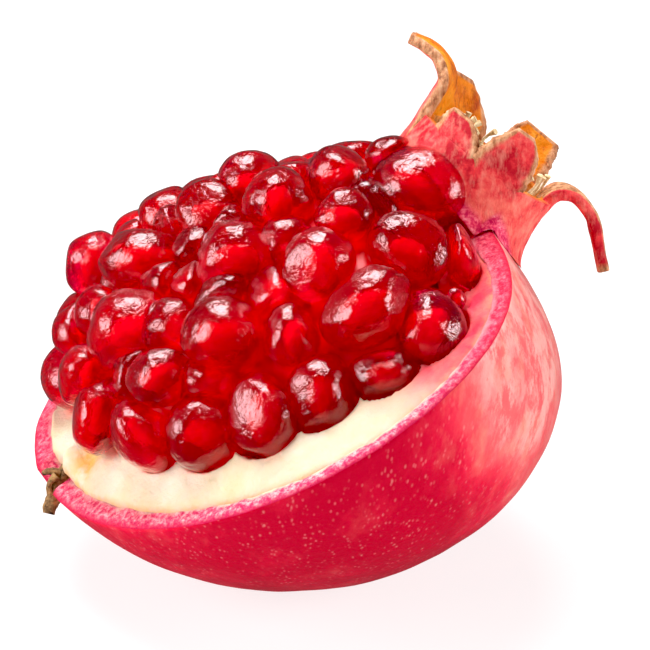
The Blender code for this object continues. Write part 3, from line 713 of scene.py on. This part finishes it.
def blush_and_highlight_at(point):
    """From 0, crimson, to 1, pale coral: palest at the crown's shoulder, where the pale coral is partly a
    painted highlight, and pink under the rim.
    """
    x, _, z = (CUT @ point - CENTRE) / RADIUS
    # Paler towards the right shoulder: partly the skin's own coral, partly a painted highlight.
    shoulder = ease(x + 0.25 * z, 0.30, 0.68) * (0.74 + 0.26 * ease(z, -0.55, -0.1))
    low = 0.25 * ease(-z, 0.55, 0.95) * ease(-x, 0.0, 0.5)
    rim = 0.55 * math.exp(point.z / (2.6 * MM)) * ease(-x, 0.15, 0.6)
    return min(shoulder + low + rim, 1)


# Arils

def sight_line(across, down):
    """Where a sight line starts and where it goes, in the cut's frame."""
    eye = Vector((0, 0, VIEW_DISTANCE))
    way = Vector(((across - VIEW_MIDDLE) / VIEW_FOCAL, (VIEW_MIDDLE - down) / VIEW_FOCAL, -1))
    return VIEW_TO_CUT @ eye, VIEW_TO_CUT.to_3x3() @ way.normalized()


def bed_level(point, inset):
    """Under 1 inside the bed, once the bed is drawn in by the inset."""
    x, y, z = point - BED_MIDDLE
    if x > 0:
        along = (x / (BED_CROWNWARD - inset)) ** BED_SQUARENESS
    else:
        along = (x / (BED_STEMWARD - inset)) ** 2
    return along + (y / (BED_WIDTH - inset)) ** 2 + (z / (BED_HEIGHT - inset)) ** 2


def bed_point(way, inset, floor=BED_HEIGHT):
    """Where a ray from the bed's middle leaves it. Below the middle, the bed is as deep as the floor."""
    way = Vector(way)
    if way.z < 0:
        way.z *= BED_HEIGHT / floor
    near = furthest(2 * BED_WIDTH, lambda reach: bed_level(BED_MIDDLE + way * reach, inset) < 1, 30)
    place = BED_MIDDLE + way * near
    if way.z < 0:
        place.z = BED_MIDDLE.z + way.z * near * floor / BED_HEIGHT
    over = place.dot(BACK_SLOPE) - (BACK_REACH - inset)
    if over > 0:
        place.z -= over / BACK_SLOPE.z
    return place


def on_bed(across, down, inset):
    """The point of the bed that a sight line meets first or, if it misses, passes nearest."""
    start, way = sight_line(across, down)
    nearest, found = 1e9, start
    for step in range(int(2 * BED_WIDTH * 2 / SIGHT_STEP)):
        point = start + way * (VIEW_DISTANCE - 2 * BED_WIDTH + step * SIGHT_STEP)
        level = bed_level(point, inset)
        if level < nearest:
            nearest, found = level, point
        if level < 1:
            break
    return found, way


def front_arils():
    """Each aril seen from the front: middle, half axes and turn, in the cut's frame."""
    into = VIEW_TO_CUT.to_3x3()
    arils = []
    for across, down, long, short, tilt, nearer in FRONT_ARILS.values():
        inset = short * VIEW_DISTANCE / VIEW_FOCAL
        middle, way = on_bed(across, down, inset)
        middle -= way * nearer * MM
        size = (sight_line(across, down)[0] - middle).length / VIEW_FOCAL
        axes = (long * size, short * size, (long + short) / 2 * size)
        arils.append((middle, axes, into @ Matrix.Rotation(math.radians(tilt), 3, "Z")))
    return arils


def hidden_arils(front):
    """Fills the rest of the bed: spirals of places from the top down, kept where none is near."""
    chance = random.Random(SEED)
    near = VIEW_TO_CUT.to_3x3().col[2]
    places = [middle for middle, _, _ in front]
    arils = []
    for inset, spacing, low in ((ARIL_RADIUS, ARIL_SPACING, -RADIUS),
                                (FILLER_INSET, FILLER_SPACING, FILLER_LOW)):
        for step in range(SPIRAL_STEPS):
            rise = 1 - (step + 0.5) / SPIRAL_STEPS
            turn = step * math.pi * (3 - math.sqrt(5))
            flat = math.sqrt(1 - rise * rise)
            way = Vector((flat * math.cos(turn), flat * math.sin(turn), rise))
            place = bed_point(way, inset)
            seen = way.dot(near) > FRONT_FACING or rise < FOOT_RISE and way.y < FOOT_BACK
            if inset == ARIL_RADIUS and seen or place.z < low:
                continue
            if min((place - other).length for other in places) < spacing:
                continue
            places.append(place)
            aril_turn = axes_frame(Vector(), place - BED_MIDDLE, Vector((1, 0.3, 0))).to_3x3()
            aril_turn = aril_turn @ Matrix.Rotation(chance.uniform(0, math.pi), 3, "Z")
            size, narrow, tall = (chance.uniform(*spread) for spread in HIDDEN_SHARES)
            wide = ARIL_RADIUS * size
            arils.append((place, (wide, wide * narrow, wide * tall), aril_turn))
    return arils


ARIL_SWELL = 1.12  # so that neighbours press on each other
ARIL_FACETS = 11  # faint flats on each one, where it grew against others
FACET_REACH = (0.86, 0.98)  # how far out they lie, as a share
FACET_SOFTNESS = 0.4 * MM
PRESS_SOFTNESS = 0.5 * MM
PRESS_OVERLAP = 0.25 * MM
PRESS_REACH = 16 * MM
NEARER_SHARE = 0.35  # how much more of a shared place the nearer of two arils keeps
NEARER_SCALE = 4 * MM
ARIL_LUMP = 0.05  # shares of the radius
ARIL_CREASE = 0.020
LUMP_SCALE = 1.4
CREASE_SCALE = 3.1
CREASE_MEAN = 0.2
LUMP_APART = 3.7  # so that no two have the same lumps
PIP_SHARES = (0.46, 0.3, 0.3)  # of the aril's half axes
PIP_SPREAD = (0.9, 1.1)


def unit_sphere(level):
    shape = bmesh.new()
    bmesh.ops.create_icosphere(shape, subdivisions=level, radius=1)
    points = np.array([tuple(v.co) for v in shape.verts])
    faces = np.array([[v.index for v in f.verts] for f in shape.faces])
    shape.free()
    return points, faces


def support(aril, way):
    """How far the aril reaches from its middle along a direction."""
    _, axes, turn = aril
    local = turn.transposed() @ way
    return 1 / math.sqrt(sum((local[i] / axes[i]) ** 2 for i in range(3)))


def flattened(points, way, limit, softness):
    """Holds points back to a limit along a direction, with a soft shoulder."""
    along = points @ np.array(way)
    held = -softness * np.logaddexp(-along / softness, -limit / softness)
    return points + np.outer(held - along, np.array(way))


def pressed(points, number, arils, front, near):
    """Flattens an aril where a neighbour presses on it. The nearer of the two keeps more."""
    middle = arils[number][0]
    for other in range(front if number < front else len(arils)):
        apart = arils[other][0] - middle
        distance = apart.length
        if other == number or distance > PRESS_REACH:
            continue
        way = apart / distance
        mine, theirs = support(arils[number], way), support(arils[other], -way)
        overlap = (mine + theirs) * ARIL_SWELL - distance
        if overlap < 0:
            continue
        nearer = min(max(-apart.dot(near) / NEARER_SCALE, -1), 1)
        limit = mine * ARIL_SWELL - overlap * (0.5 - NEARER_SHARE * nearer) + PRESS_OVERLAP
        points = flattened(points, way, limit, PRESS_SOFTNESS)
    return points


def make_arils(name, arils, chosen, level, front):
    """One piece for a set of arils, each with its own tone."""
    chance = random.Random(SEED)
    near = VIEW_TO_CUT.to_3x3().col[2]
    sphere, faces = unit_sphere(level)
    points, all_faces, tones = [], [], []
    for order, number in enumerate(chosen):
        middle, axes, turn = arils[number]
        own = Vector((number * LUMP_APART, 0, 0))
        lumps = np.array([noise.noise(Vector(p) * LUMP_SCALE + own) for p in sphere])
        creases = np.array([abs(noise.noise(Vector(p) * CREASE_SCALE + own)) for p in sphere])
        size = ARIL_SWELL + ARIL_LUMP * lumps + ARIL_CREASE * (creases - CREASE_MEAN)
        shape = sphere * size[:, None] * np.array(axes)
        shape = shape @ np.array(turn).T
        for _ in range(ARIL_FACETS):
            way = Vector([chance.gauss(0, 1) for _ in range(3)]).normalized()
            limit = support(arils[number], way) * ARIL_SWELL * chance.uniform(*FACET_REACH)
            shape = flattened(shape, way, limit, FACET_SOFTNESS)
        shape = pressed(shape, number, arils, front, near)
        points.append(shape + np.array(middle))
        all_faces.append(faces + order * len(sphere))
        tones.append(np.full(len(sphere), chance.random()))
    piece = add_piece(name, np.concatenate(points), np.concatenate(all_faces), ARIL_JUICE, "arils")
    add_attribute(piece, "tone", np.concatenate(tones))


def make_seeds(arils, chosen):
    """The pip inside each aril."""
    chance = random.Random(SEED + 1)
    sphere, faces = unit_sphere(3)
    points, all_faces = [], []
    for order, number in enumerate(chosen):
        middle, axes, turn = arils[number]
        shape = sphere * np.array(axes) * np.array(PIP_SHARES) * chance.uniform(*PIP_SPREAD)
        points.append(shape @ np.array(turn).T + np.array(middle))
        all_faces.append(faces + order * len(sphere))
    add_piece("aril_pips", np.concatenate(points), np.concatenate(all_faces), seed_material(), "arils")


def make_core():
    """The dark inside of the heap, which shows only between the arils."""
    sphere, faces = unit_sphere(5)
    points = [tuple(bed_point(Vector(way), CORE_INSET, BED_DEPTH - CAVITY_INSET)) for way in sphere]
    add_piece("aril_core", points, faces, core_material(), "arils")


# Pith

PITH_SIDES = 360
PITH_ROWS = 40
BOWL_ROWS = 14
PITH_RISE = 3.4 * MM
PITH_RISE_BEARING = math.radians(-148)
PITH_SLOPE = 9.0 * MM
PITH_LEDGE = 1.2 * MM  # how far the face goes on under the arils
PITH_SKIN = 0.12 * MM  # how close the pith comes to an aril
LIP = Vector((-38.6, -2.8, 0)) * MM  # the ridge of pith that curls over the stem's notch
LIP_RISE = 1.9 * MM
LIP_SIZE = 2.3 * MM
STAIN = Vector((-36.0, -6.4, 0)) * MM
STAIN_SIZE = 2.6 * MM
PIT_DEPTH = 0.8 * MM  # the dent in the middle of the stain
PIT_SIZE = 1.6 * MM
PITH_WAVES = ((0.22 * MM, 3 * MM, 4), (0.12 * MM, 1.2 * MM, 8))
DENT_HEIGHT = 9 * MM  # arils with their middles below this can dent the face
BAND_OVERLAP = 0.5 * MM
EDGE_SINK = 0.7 * MM
CREST_RISE = 1.6 * MM  # the pith stands up between two arils
CREST_SIZE = 1.0 * MM
PINK_SIZE = 0.8 * MM
CROWN_PINK = (-0.04, 0.32)  # it turns pink over these cosines of the bearing from the crown


def swell(x, y, inset):
    """Rise of the pith above the cut, most at one side of the stem end."""
    slope = min(max(inset / PITH_SLOPE, 0), 1)
    side = max(0, math.cos(math.atan2(y, x) - PITH_RISE_BEARING))
    return PITH_RISE * side ** 2 * slope * slope * (3 - 2 * slope)


def under_arils(x, y, height, beds):
    """Keeps a height below the arils that lie over that place."""
    for middle, bend in beds:
        dx, dy = x - middle.x, y - middle.y
        along = bend[0][2] * dx + bend[1][2] * dy
        across = bend[0][0] * dx * dx + 2 * bend[0][1] * dx * dy + bend[1][1] * dy * dy - 1
        inside = along * along - bend[2][2] * across
        if inside > 0:
            height = min(height, middle.z - (along + math.sqrt(inside)) / bend[2][2])
    return height


def cavity_reach(way, level):
    """How far the cavity for the arils reaches at the pith's face."""
    up = Vector((0, 0, level))
    return furthest(BED_WIDTH, lambda reach: bed_level(way * reach + up, CAVITY_INSET) < 1, 22)


def closeness(place, spot, size):
    """From 1 at the spot to 0 away from it."""
    return math.exp(-((place.x - spot.x) ** 2 + (place.y - spot.y) ** 2) / size ** 2)


def make_pith(arils):
    """The upper face, dented by the arils, and the bowl under them."""
    middles = np.array([tuple(a[0]) for a in arils])
    sizes = np.array([(a[1][0] + a[1][1]) / 2 for a in arils])
    beds = []
    for middle, axes, turn in arils:
        if middle.z < DENT_HEIGHT:
            half = [1 / (a * ARIL_SWELL + PITH_SKIN) ** 2 for a in axes]
            beds.append((middle, turn @ Matrix.Diagonal(half) @ turn.transposed()))
    rings, stain, pink = [], [], []
    turns = around(PITH_SIDES)
    rims = [rim_point(turn) for turn in turns]
    edges = []
    for turn, rim in zip(turns, rims):
        edges.append(cavity_reach(heading(turn), cut_level(rim.y * 0.7)) - PITH_LEDGE)
    for row in range(PITH_ROWS):
        ring = []
        part = row / (PITH_ROWS - 1)
        for turn, rim, edge in zip(turns, rims, edges):
            reach = math.hypot(rim.x, rim.y)
            outer = reach - band_width(turn) + BAND_OVERLAP
            place = heading(turn) * (outer + (edge - outer) * part)
            inset = reach - place.length
            height = cut_level(place.y) + swell(place.x, place.y, inset) - EDGE_SINK * math.exp(-row / 1.2)
            height += flap_rise(turn) * (1 - part) ** 2 if turn < math.pi else 0
            height -= notch_drop(rim) * math.exp(-row / 3)
            height += waves(place, PITH_WAVES)
            pit = PIT_DEPTH * closeness(place, STAIN, PIT_SIZE)
            height += LIP_RISE * closeness(place, LIP, LIP_SIZE) - pit
            here = np.array((place.x, place.y, height))
            gaps = np.sort(np.linalg.norm(middles - here, axis=1) - sizes)
            height += CREST_RISE * math.exp(-(max(gaps[1], 0) / CREST_SIZE) ** 2)
            ring.append((place.x, place.y, under_arils(place.x, place.y, height, beds)))
            stain.append(min(1, 1.3 * closeness(place, STAIN, STAIN_SIZE) + 0.6 * math.exp(-row / 3)))
            near_band = 0.8 * math.exp(-row / 2.5)
            crown = ease(math.cos(turn), *CROWN_PINK)
            near_arils = 0.12 * math.exp(-max(gaps[0], 0) / PINK_SIZE)
            pink.append(min(1, 0.4 * near_band + crown + near_arils))
        rings.append(ring)
    inner = [Vector(p) for p in rings[-1]]
    for row in range(1, BOWL_ROWS + 1):
        part = row / BOWL_ROWS
        ring = []
        for start in inner:
            way = (start - BED_MIDDLE).normalized().slerp(DOWN, part) if part < 1 else DOWN
            place = bed_point(way, CAVITY_INSET, BED_DEPTH)
            ring.append(tuple(start.lerp(place, min(1, 2 * part))))
            stain.append(0)
            pink.append(0.3)
        rings.append(ring)
    piece = add_rings("pith_face", rings, pith_material(), "pith")
    add_attribute(piece, "stain", stain)
    add_attribute(piece, "pink", pink)


# Calyx

TUBE_SIDES = 160
TUBE_ROWS = 26
CUP_ROWS = 12
CUP_DEPTH = 5.5 * MM
FLARE_RADIUS = 12.8 * MM
FOOT_RADIUS = 11.3 * MM
FOOT_DROP = 2.4 * MM  # how far the tube goes on down where the lid is gone
FOOT_CLEAR = 0.1 * MM  # how high it stays over the cut there
FOOT_CUT = 2.5 * MM  # how much of it shows cut flesh at the front
CUT_LEFT = (-40, -5)  # bearings over which that flesh comes in
CUT_RIGHT = (-62, -38)  # and, with their signs turned, those over which it goes out
TUBE_FLUSH = 0.35  # how crimson the tube is, and how much darker it is at the left: partly crimson flush, partly a painted shade where the left lamp falls strongest
LEFT_FLUSH_AND_SHADE = 0.85
FLUSH_AND_SHADE_LEFT = (-10, 30)
FLARE_BLEND = 1.5 * MM
BEND_RISE = 0.6 * MM
TUBE_WAVES = ((0.35 * MM, 5 * MM, 6), (0.15 * MM, 1.8 * MM, 7))
CUP_WAVES = ((0.2 * MM, 2 * MM, 1),)
CALYX_MARKS = ("inner", "dry", "flush_and_shade", "cut")  # what the material reads at each point
CROWN_START = 9 * MM


def crown_drop(x, y):
    """How far along the calyx's axis the body's surface lies at that place across it."""
    start = CALYX_TO_CUT @ Vector((x, y, -CROWN_START))
    if not inside_body(start):
        return -CROWN_START
    return reach_of_body(start, CALYX_TO_CUT.to_3x3() @ Vector((0, 0, 1))) - CROWN_START


def add_marks(thing, marks):
    """Gives each point of a calyx piece what the material reads there, in the order of the names."""
    for name, values in zip(CALYX_MARKS, zip(*marks)):
        add_attribute(thing, name, values)


def make_tube():
    """The short tube: it flares out on to the crown, and its inside goes down to the stamens."""
    ways = []
    for turn in around(TUBE_SIDES):
        flat = Vector((math.sin(turn), -math.cos(turn), 0))
        flare = flat * FLARE_RADIUS
        flare.z = crown_drop(flare.x, flare.y)
        held = ease(-(CALYX_TO_CUT @ flare).z, -FLARE_BLEND, FLARE_BLEND)
        foot = flat * FOOT_RADIUS
        foot.z = crown_drop(foot.x, foot.y) - FOOT_DROP
        foot.z += max(0, FOOT_CLEAR - (CALYX_TO_CUT @ foot).z) / math.sin(CALYX_LEAN)
        foot = foot.lerp(flare, held)
        bend = flat * CALYX_RADIUS
        bend.z = BEND_RISE + crown_drop(bend.x, bend.y)
        bearing = (math.degrees(turn) + 180) % 360 - 180
        fresh = FOOT_CUT * ease(-bearing, *CUT_RIGHT) * ease(bearing, *CUT_LEFT)
        # The tube's crimson, darker on its left: partly flush, partly a painted shade.
        red = TUBE_FLUSH + LEFT_FLUSH_AND_SHADE * ease(-bearing, *FLUSH_AND_SHADE_LEFT)
        ways.append((flat, foot, bend, fresh, red))
    rings = [[foot * 0.05 for _, foot, *_ in ways]]
    marks = [(0, 0, 0, 0)] * TUBE_SIDES
    for row in range(TUBE_ROWS):
        part = row / (TUBE_ROWS - 1)
        ring = []
        for flat, foot, bend, fresh, red in ways:
            top = flat * CALYX_RADIUS + Vector((0, 0, CALYX_LENGTH))
            place = foot.lerp(bend, part).lerp(bend.lerp(top, part), part)
            ring.append(place + flat * waves(place, TUBE_WAVES) * math.sin(math.pi * min(1, part * 1.1)))
            cut = min(1, max(0, (fresh - place.z + foot.z) / MM))
            marks.append((0, 0.25 * part ** 3, red * ease(part, 0.25, 0.9), cut))
        rings.append(ring)
    for row in range(CUP_ROWS + 2):
        down = min(row / CUP_ROWS, 1)
        radius = (CALYX_RADIUS - CALYX_WALL) * (1 if row <= CUP_ROWS else 0.05)
        ring = []
        for flat, *_ in ways:
            place = flat * radius + Vector((0, 0, CALYX_LENGTH - CUP_DEPTH * down))
            ring.append(place + flat * waves(place, CUP_WAVES))
            marks.append((1, 0.5 + 0.3 * down, 0, 0))
        rings.append(ring)
    tube = add_rings("calyx_tube", rings, CALYX_SKIN, "calyx", CALYX)
    add_marks(tube, marks)


def smooth_line(values, steps):
    """Points along a smooth curve through the given ones."""
    values = [Vector(v) if isinstance(v, tuple) else Vector((v, 0, 0)) for v in values]
    values = [2 * values[0] - values[1]] + values + [2 * values[-1] - values[-2]]
    curve = []
    spans = len(values) - 3
    for step in range(steps + 1):
        span = min(int(step / steps * spans), spans - 1)
        t = step / steps * spans - span
        a, b, c, d = values[span:span + 4]
        curve.append(0.5 * (2 * b + (c - a) * t + (2 * a - 5 * b + 4 * c - d) * t * t
                            + (3 * b - a - 3 * c + d) * t ** 3))
    return curve


SEPAL_ALONG = 40
SEPAL_ACROSS = 22
DRY_FACE = {"sepal_drooping": 0.9}  # how dry the inner face is, where it isn't orange
DRY_RIM = {"sepal_drooping": 30, "sepal_tall": 6}  # the higher, the narrower the dry rim
DRY_RIM_WIDE = 2.2
SEPAL_FLUSH_AND_SHADE = {"sepal_tall": 0.3, "sepal_short": 1.4, "sepal_front": 0.8}  # how crimson the outer face is; the short sepal's extra is partly a painted shade under the left lamp


def make_sepal(name, bearing, widths, line, seed):
    """A thick curled blade, cupped at its root, with a square fibrous edge."""
    turn = math.radians(bearing)
    out = Vector((math.sin(turn), -math.cos(turn), 0))
    side = heading(turn)
    places = smooth_line(line, SEPAL_ALONG)
    halves = smooth_line(widths, SEPAL_ALONG)
    middles = [(out * p.y + side * p.z + Vector((0, 0, CALYX_LENGTH / MM + p.x))) * MM for p in places]
    dry_face = DRY_FACE.get(name, 0)
    rings, marks = [], []
    for number, (middle, half) in enumerate(zip(middles, halves)):
        part = number / SEPAL_ALONG
        before, after = middles[max(number - 1, 0)], middles[min(number + 1, SEPAL_ALONG)]
        thick = (after - before).normalized().cross(side)
        cup = (1 - part) / 2 / CALYX_RADIUS
        ring = []
        for face in (0.5, -0.5):
            for i in range(SEPAL_ACROSS + 1):
                span = (2 * i / SEPAL_ACROSS - 1) * (1 if face > 0 else -1)
                ragged = 1 + 0.09 * wave((number * 0.7, span, seed), 1.7, seed)
                width = span * half.x * MM * ragged
                place = middle + side * width - out * width * width * cup
                depth = SEPAL_THICKNESS[name] * (1 - 0.35 * abs(span) ** 6) * (1 - 0.15 * part) * face
                place += thick * (depth + 0.22 * MM * wave(place, 2.2 * MM, seed))
                ring.append(place)
                inner = face > 0 and not dry_face
                rim = 0.95 * abs(span) ** DRY_RIM.get(name, DRY_RIM_WIDE) * (1 - dry_face)
                across = dry_face * (1 - abs(span) ** 8) if face > 0 else 0
                dry = max(rim, across, 0.8 * ease(part, 0.82, 1.0))
                marks.append((inner, dry, SEPAL_FLUSH_AND_SHADE.get(name, 1) * ease(part, -0.1, 0.3)))
        rings.append(ring)
    columns = 2 * (SEPAL_ACROSS + 1)
    points = [tuple(p) for ring in rings for p in ring]
    faces = grid_faces(len(rings), columns)
    faces.append(tuple(range((len(rings) - 1) * columns, len(rings) * columns)))
    blade = add_piece(name, points, faces, CALYX_SKIN, "calyx", CALYX)
    add_marks(blade, marks)


# Stamens and stem

STAMENS = 60
STAMEN_STEPS = 9
STAMEN_RADIUS = 0.22 * MM
STAMEN_TIP = 2.2  # how much thicker each one is at its tip
STAMEN_RING = (3.0, 8.3)  # how far out they stand, and how long they are, in millimetres
STAMEN_LENGTH = (5.0, 8.5)
STAMEN_FOOT = 2.0 * MM
STAMEN_CURL = 1.1 * MM


def make_stamens():
    """Dried curly filaments that line the calyx."""
    chance = random.Random(SEED)
    curve = bpy.data.curves.new("stamen_threads", "CURVE")
    curve.dimensions = "3D"
    curve.bevel_depth = STAMEN_RADIUS
    curve.bevel_resolution = 1
    curve.use_fill_caps = True
    for number in range(STAMENS):
        turn = number * math.pi * (3 - math.sqrt(5))
        out = math.sqrt(chance.uniform(STAMEN_RING[0] ** 2, STAMEN_RING[1] ** 2)) * MM
        foot = Vector((out * math.sin(turn), -out * math.cos(turn), STAMEN_FOOT))
        spline = curve.splines.new("POLY")
        length = chance.uniform(*STAMEN_LENGTH) * MM
        spline.points.add(STAMEN_STEPS - 1)
        for step in range(STAMEN_STEPS):
            part = step / (STAMEN_STEPS - 1)
            curl = STAMEN_CURL * part
            sway = Vector((curl * wave((part * 2, number, 0), 1), curl * wave((0, number, part * 2), 1), 0))
            place = foot + Vector((0, 0, length * part)) + sway * 2
            spline.points[step].co = (*place, 1)
            spline.points[step].radius = STAMEN_TIP if part == 1 else 1.0
    threads = bpy.data.objects.new("stamen_threads", curve)
    threads.matrix_world = CALYX
    bpy.context.collection.objects.link(threads)
    matter = dry_material("dry_stamens", (0.55, 0.33, 0.12, 1), (0.93, 0.82, 0.55, 1), 900, 0.1)
    curve.materials.append(matter)
    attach(threads, "root")
    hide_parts("stamens")


STEM_STEPS = 40
STEM_SIDES = 24
STEM_BITS = (  # the frayed bits beside the stem, in the view's frame as the stem is
    (((-36.2, -20.3, 0.4), 0.6), ((-37.1, -20.0, 0.5), 0.5), ((-37.9, -20.0, 0.4), 0.45),
     ((-38.6, -20.3, 0.2), 0.3)),
    (((-36.6, -20.6, 1.0), 0.7), ((-37.6, -21.6, 1.1), 0.35), ((-37.6, -22.8, 1.0), 0.45),
     ((-37.0, -23.9, 0.8), 0.6)),
)


def ridged_tube(line_points, first):
    """Points and faces of a ridged tube along a smooth line, numbered from the first."""
    line = smooth_line([place for place, _ in line_points], STEM_STEPS)
    radii = smooth_line([radius for _, radius in line_points], STEM_STEPS)
    points = []
    for number, (middle, radius) in enumerate(zip(line, radii)):
        before, after = line[max(number - 1, 0)], line[min(number + 1, STEM_STEPS)]
        turn = axes_frame(Vector(), after - before, Vector((0, 0, 1))).to_3x3()
        for round_way in map(heading, around(STEM_SIDES)):
            ridge = 1 + 0.20 * wave((round_way.x * 2, round_way.y * 2, number * 0.12 + first), 1, 3)
            ridge += 0.16 * wave((round_way.x * 4, round_way.y * 4, number * 0.3 + first), 1, 5)
            points.append(middle + turn @ round_way * radius.x * ridge)
    faces = grid_faces(STEM_STEPS + 1, STEM_SIDES)
    faces.append(tuple(range(STEM_SIDES)))
    faces.append(tuple(range(STEM_STEPS * STEM_SIDES, (STEM_STEPS + 1) * STEM_SIDES)))
    return points, [tuple(corner + first for corner in face) for face in faces]


def make_stem():
    """The woody stub, ridged along its length, and the frayed bits beside it."""
    points, faces = [], []
    for line in (STEM_LINE, *STEM_BITS):
        more, joined = ridged_tube(line, len(points))
        points += more
        faces += joined
    bark = dry_material("stem_bark", (0.030, 0.010, 0.005, 1), (0.50, 0.27, 0.10, 1), 800, 0.3)
    add_piece("stem_bark", [tuple(p * MM) for p in points], faces, bark, "stem_stub", VIEW)


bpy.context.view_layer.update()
add_camera()
add_studio()
ARIL_JUICE = aril_material()
CALYX_SKIN = calyx_material()
make_rind()
seen = front_arils()
everything = seen + hidden_arils(seen)
make_arils("arils_front", everything, range(len(seen)), 5, len(seen))
make_arils("arils_behind", everything, range(len(seen), len(everything)), 4, len(seen))
make_seeds(everything, range(len(everything)))
make_core()
make_pith(everything)
make_tube()
for seed, (sepal, (bearing, widths, line)) in enumerate(SEPALS.items()):
    make_sepal(sepal, bearing, widths, line, seed)
make_stamens()
make_stem()
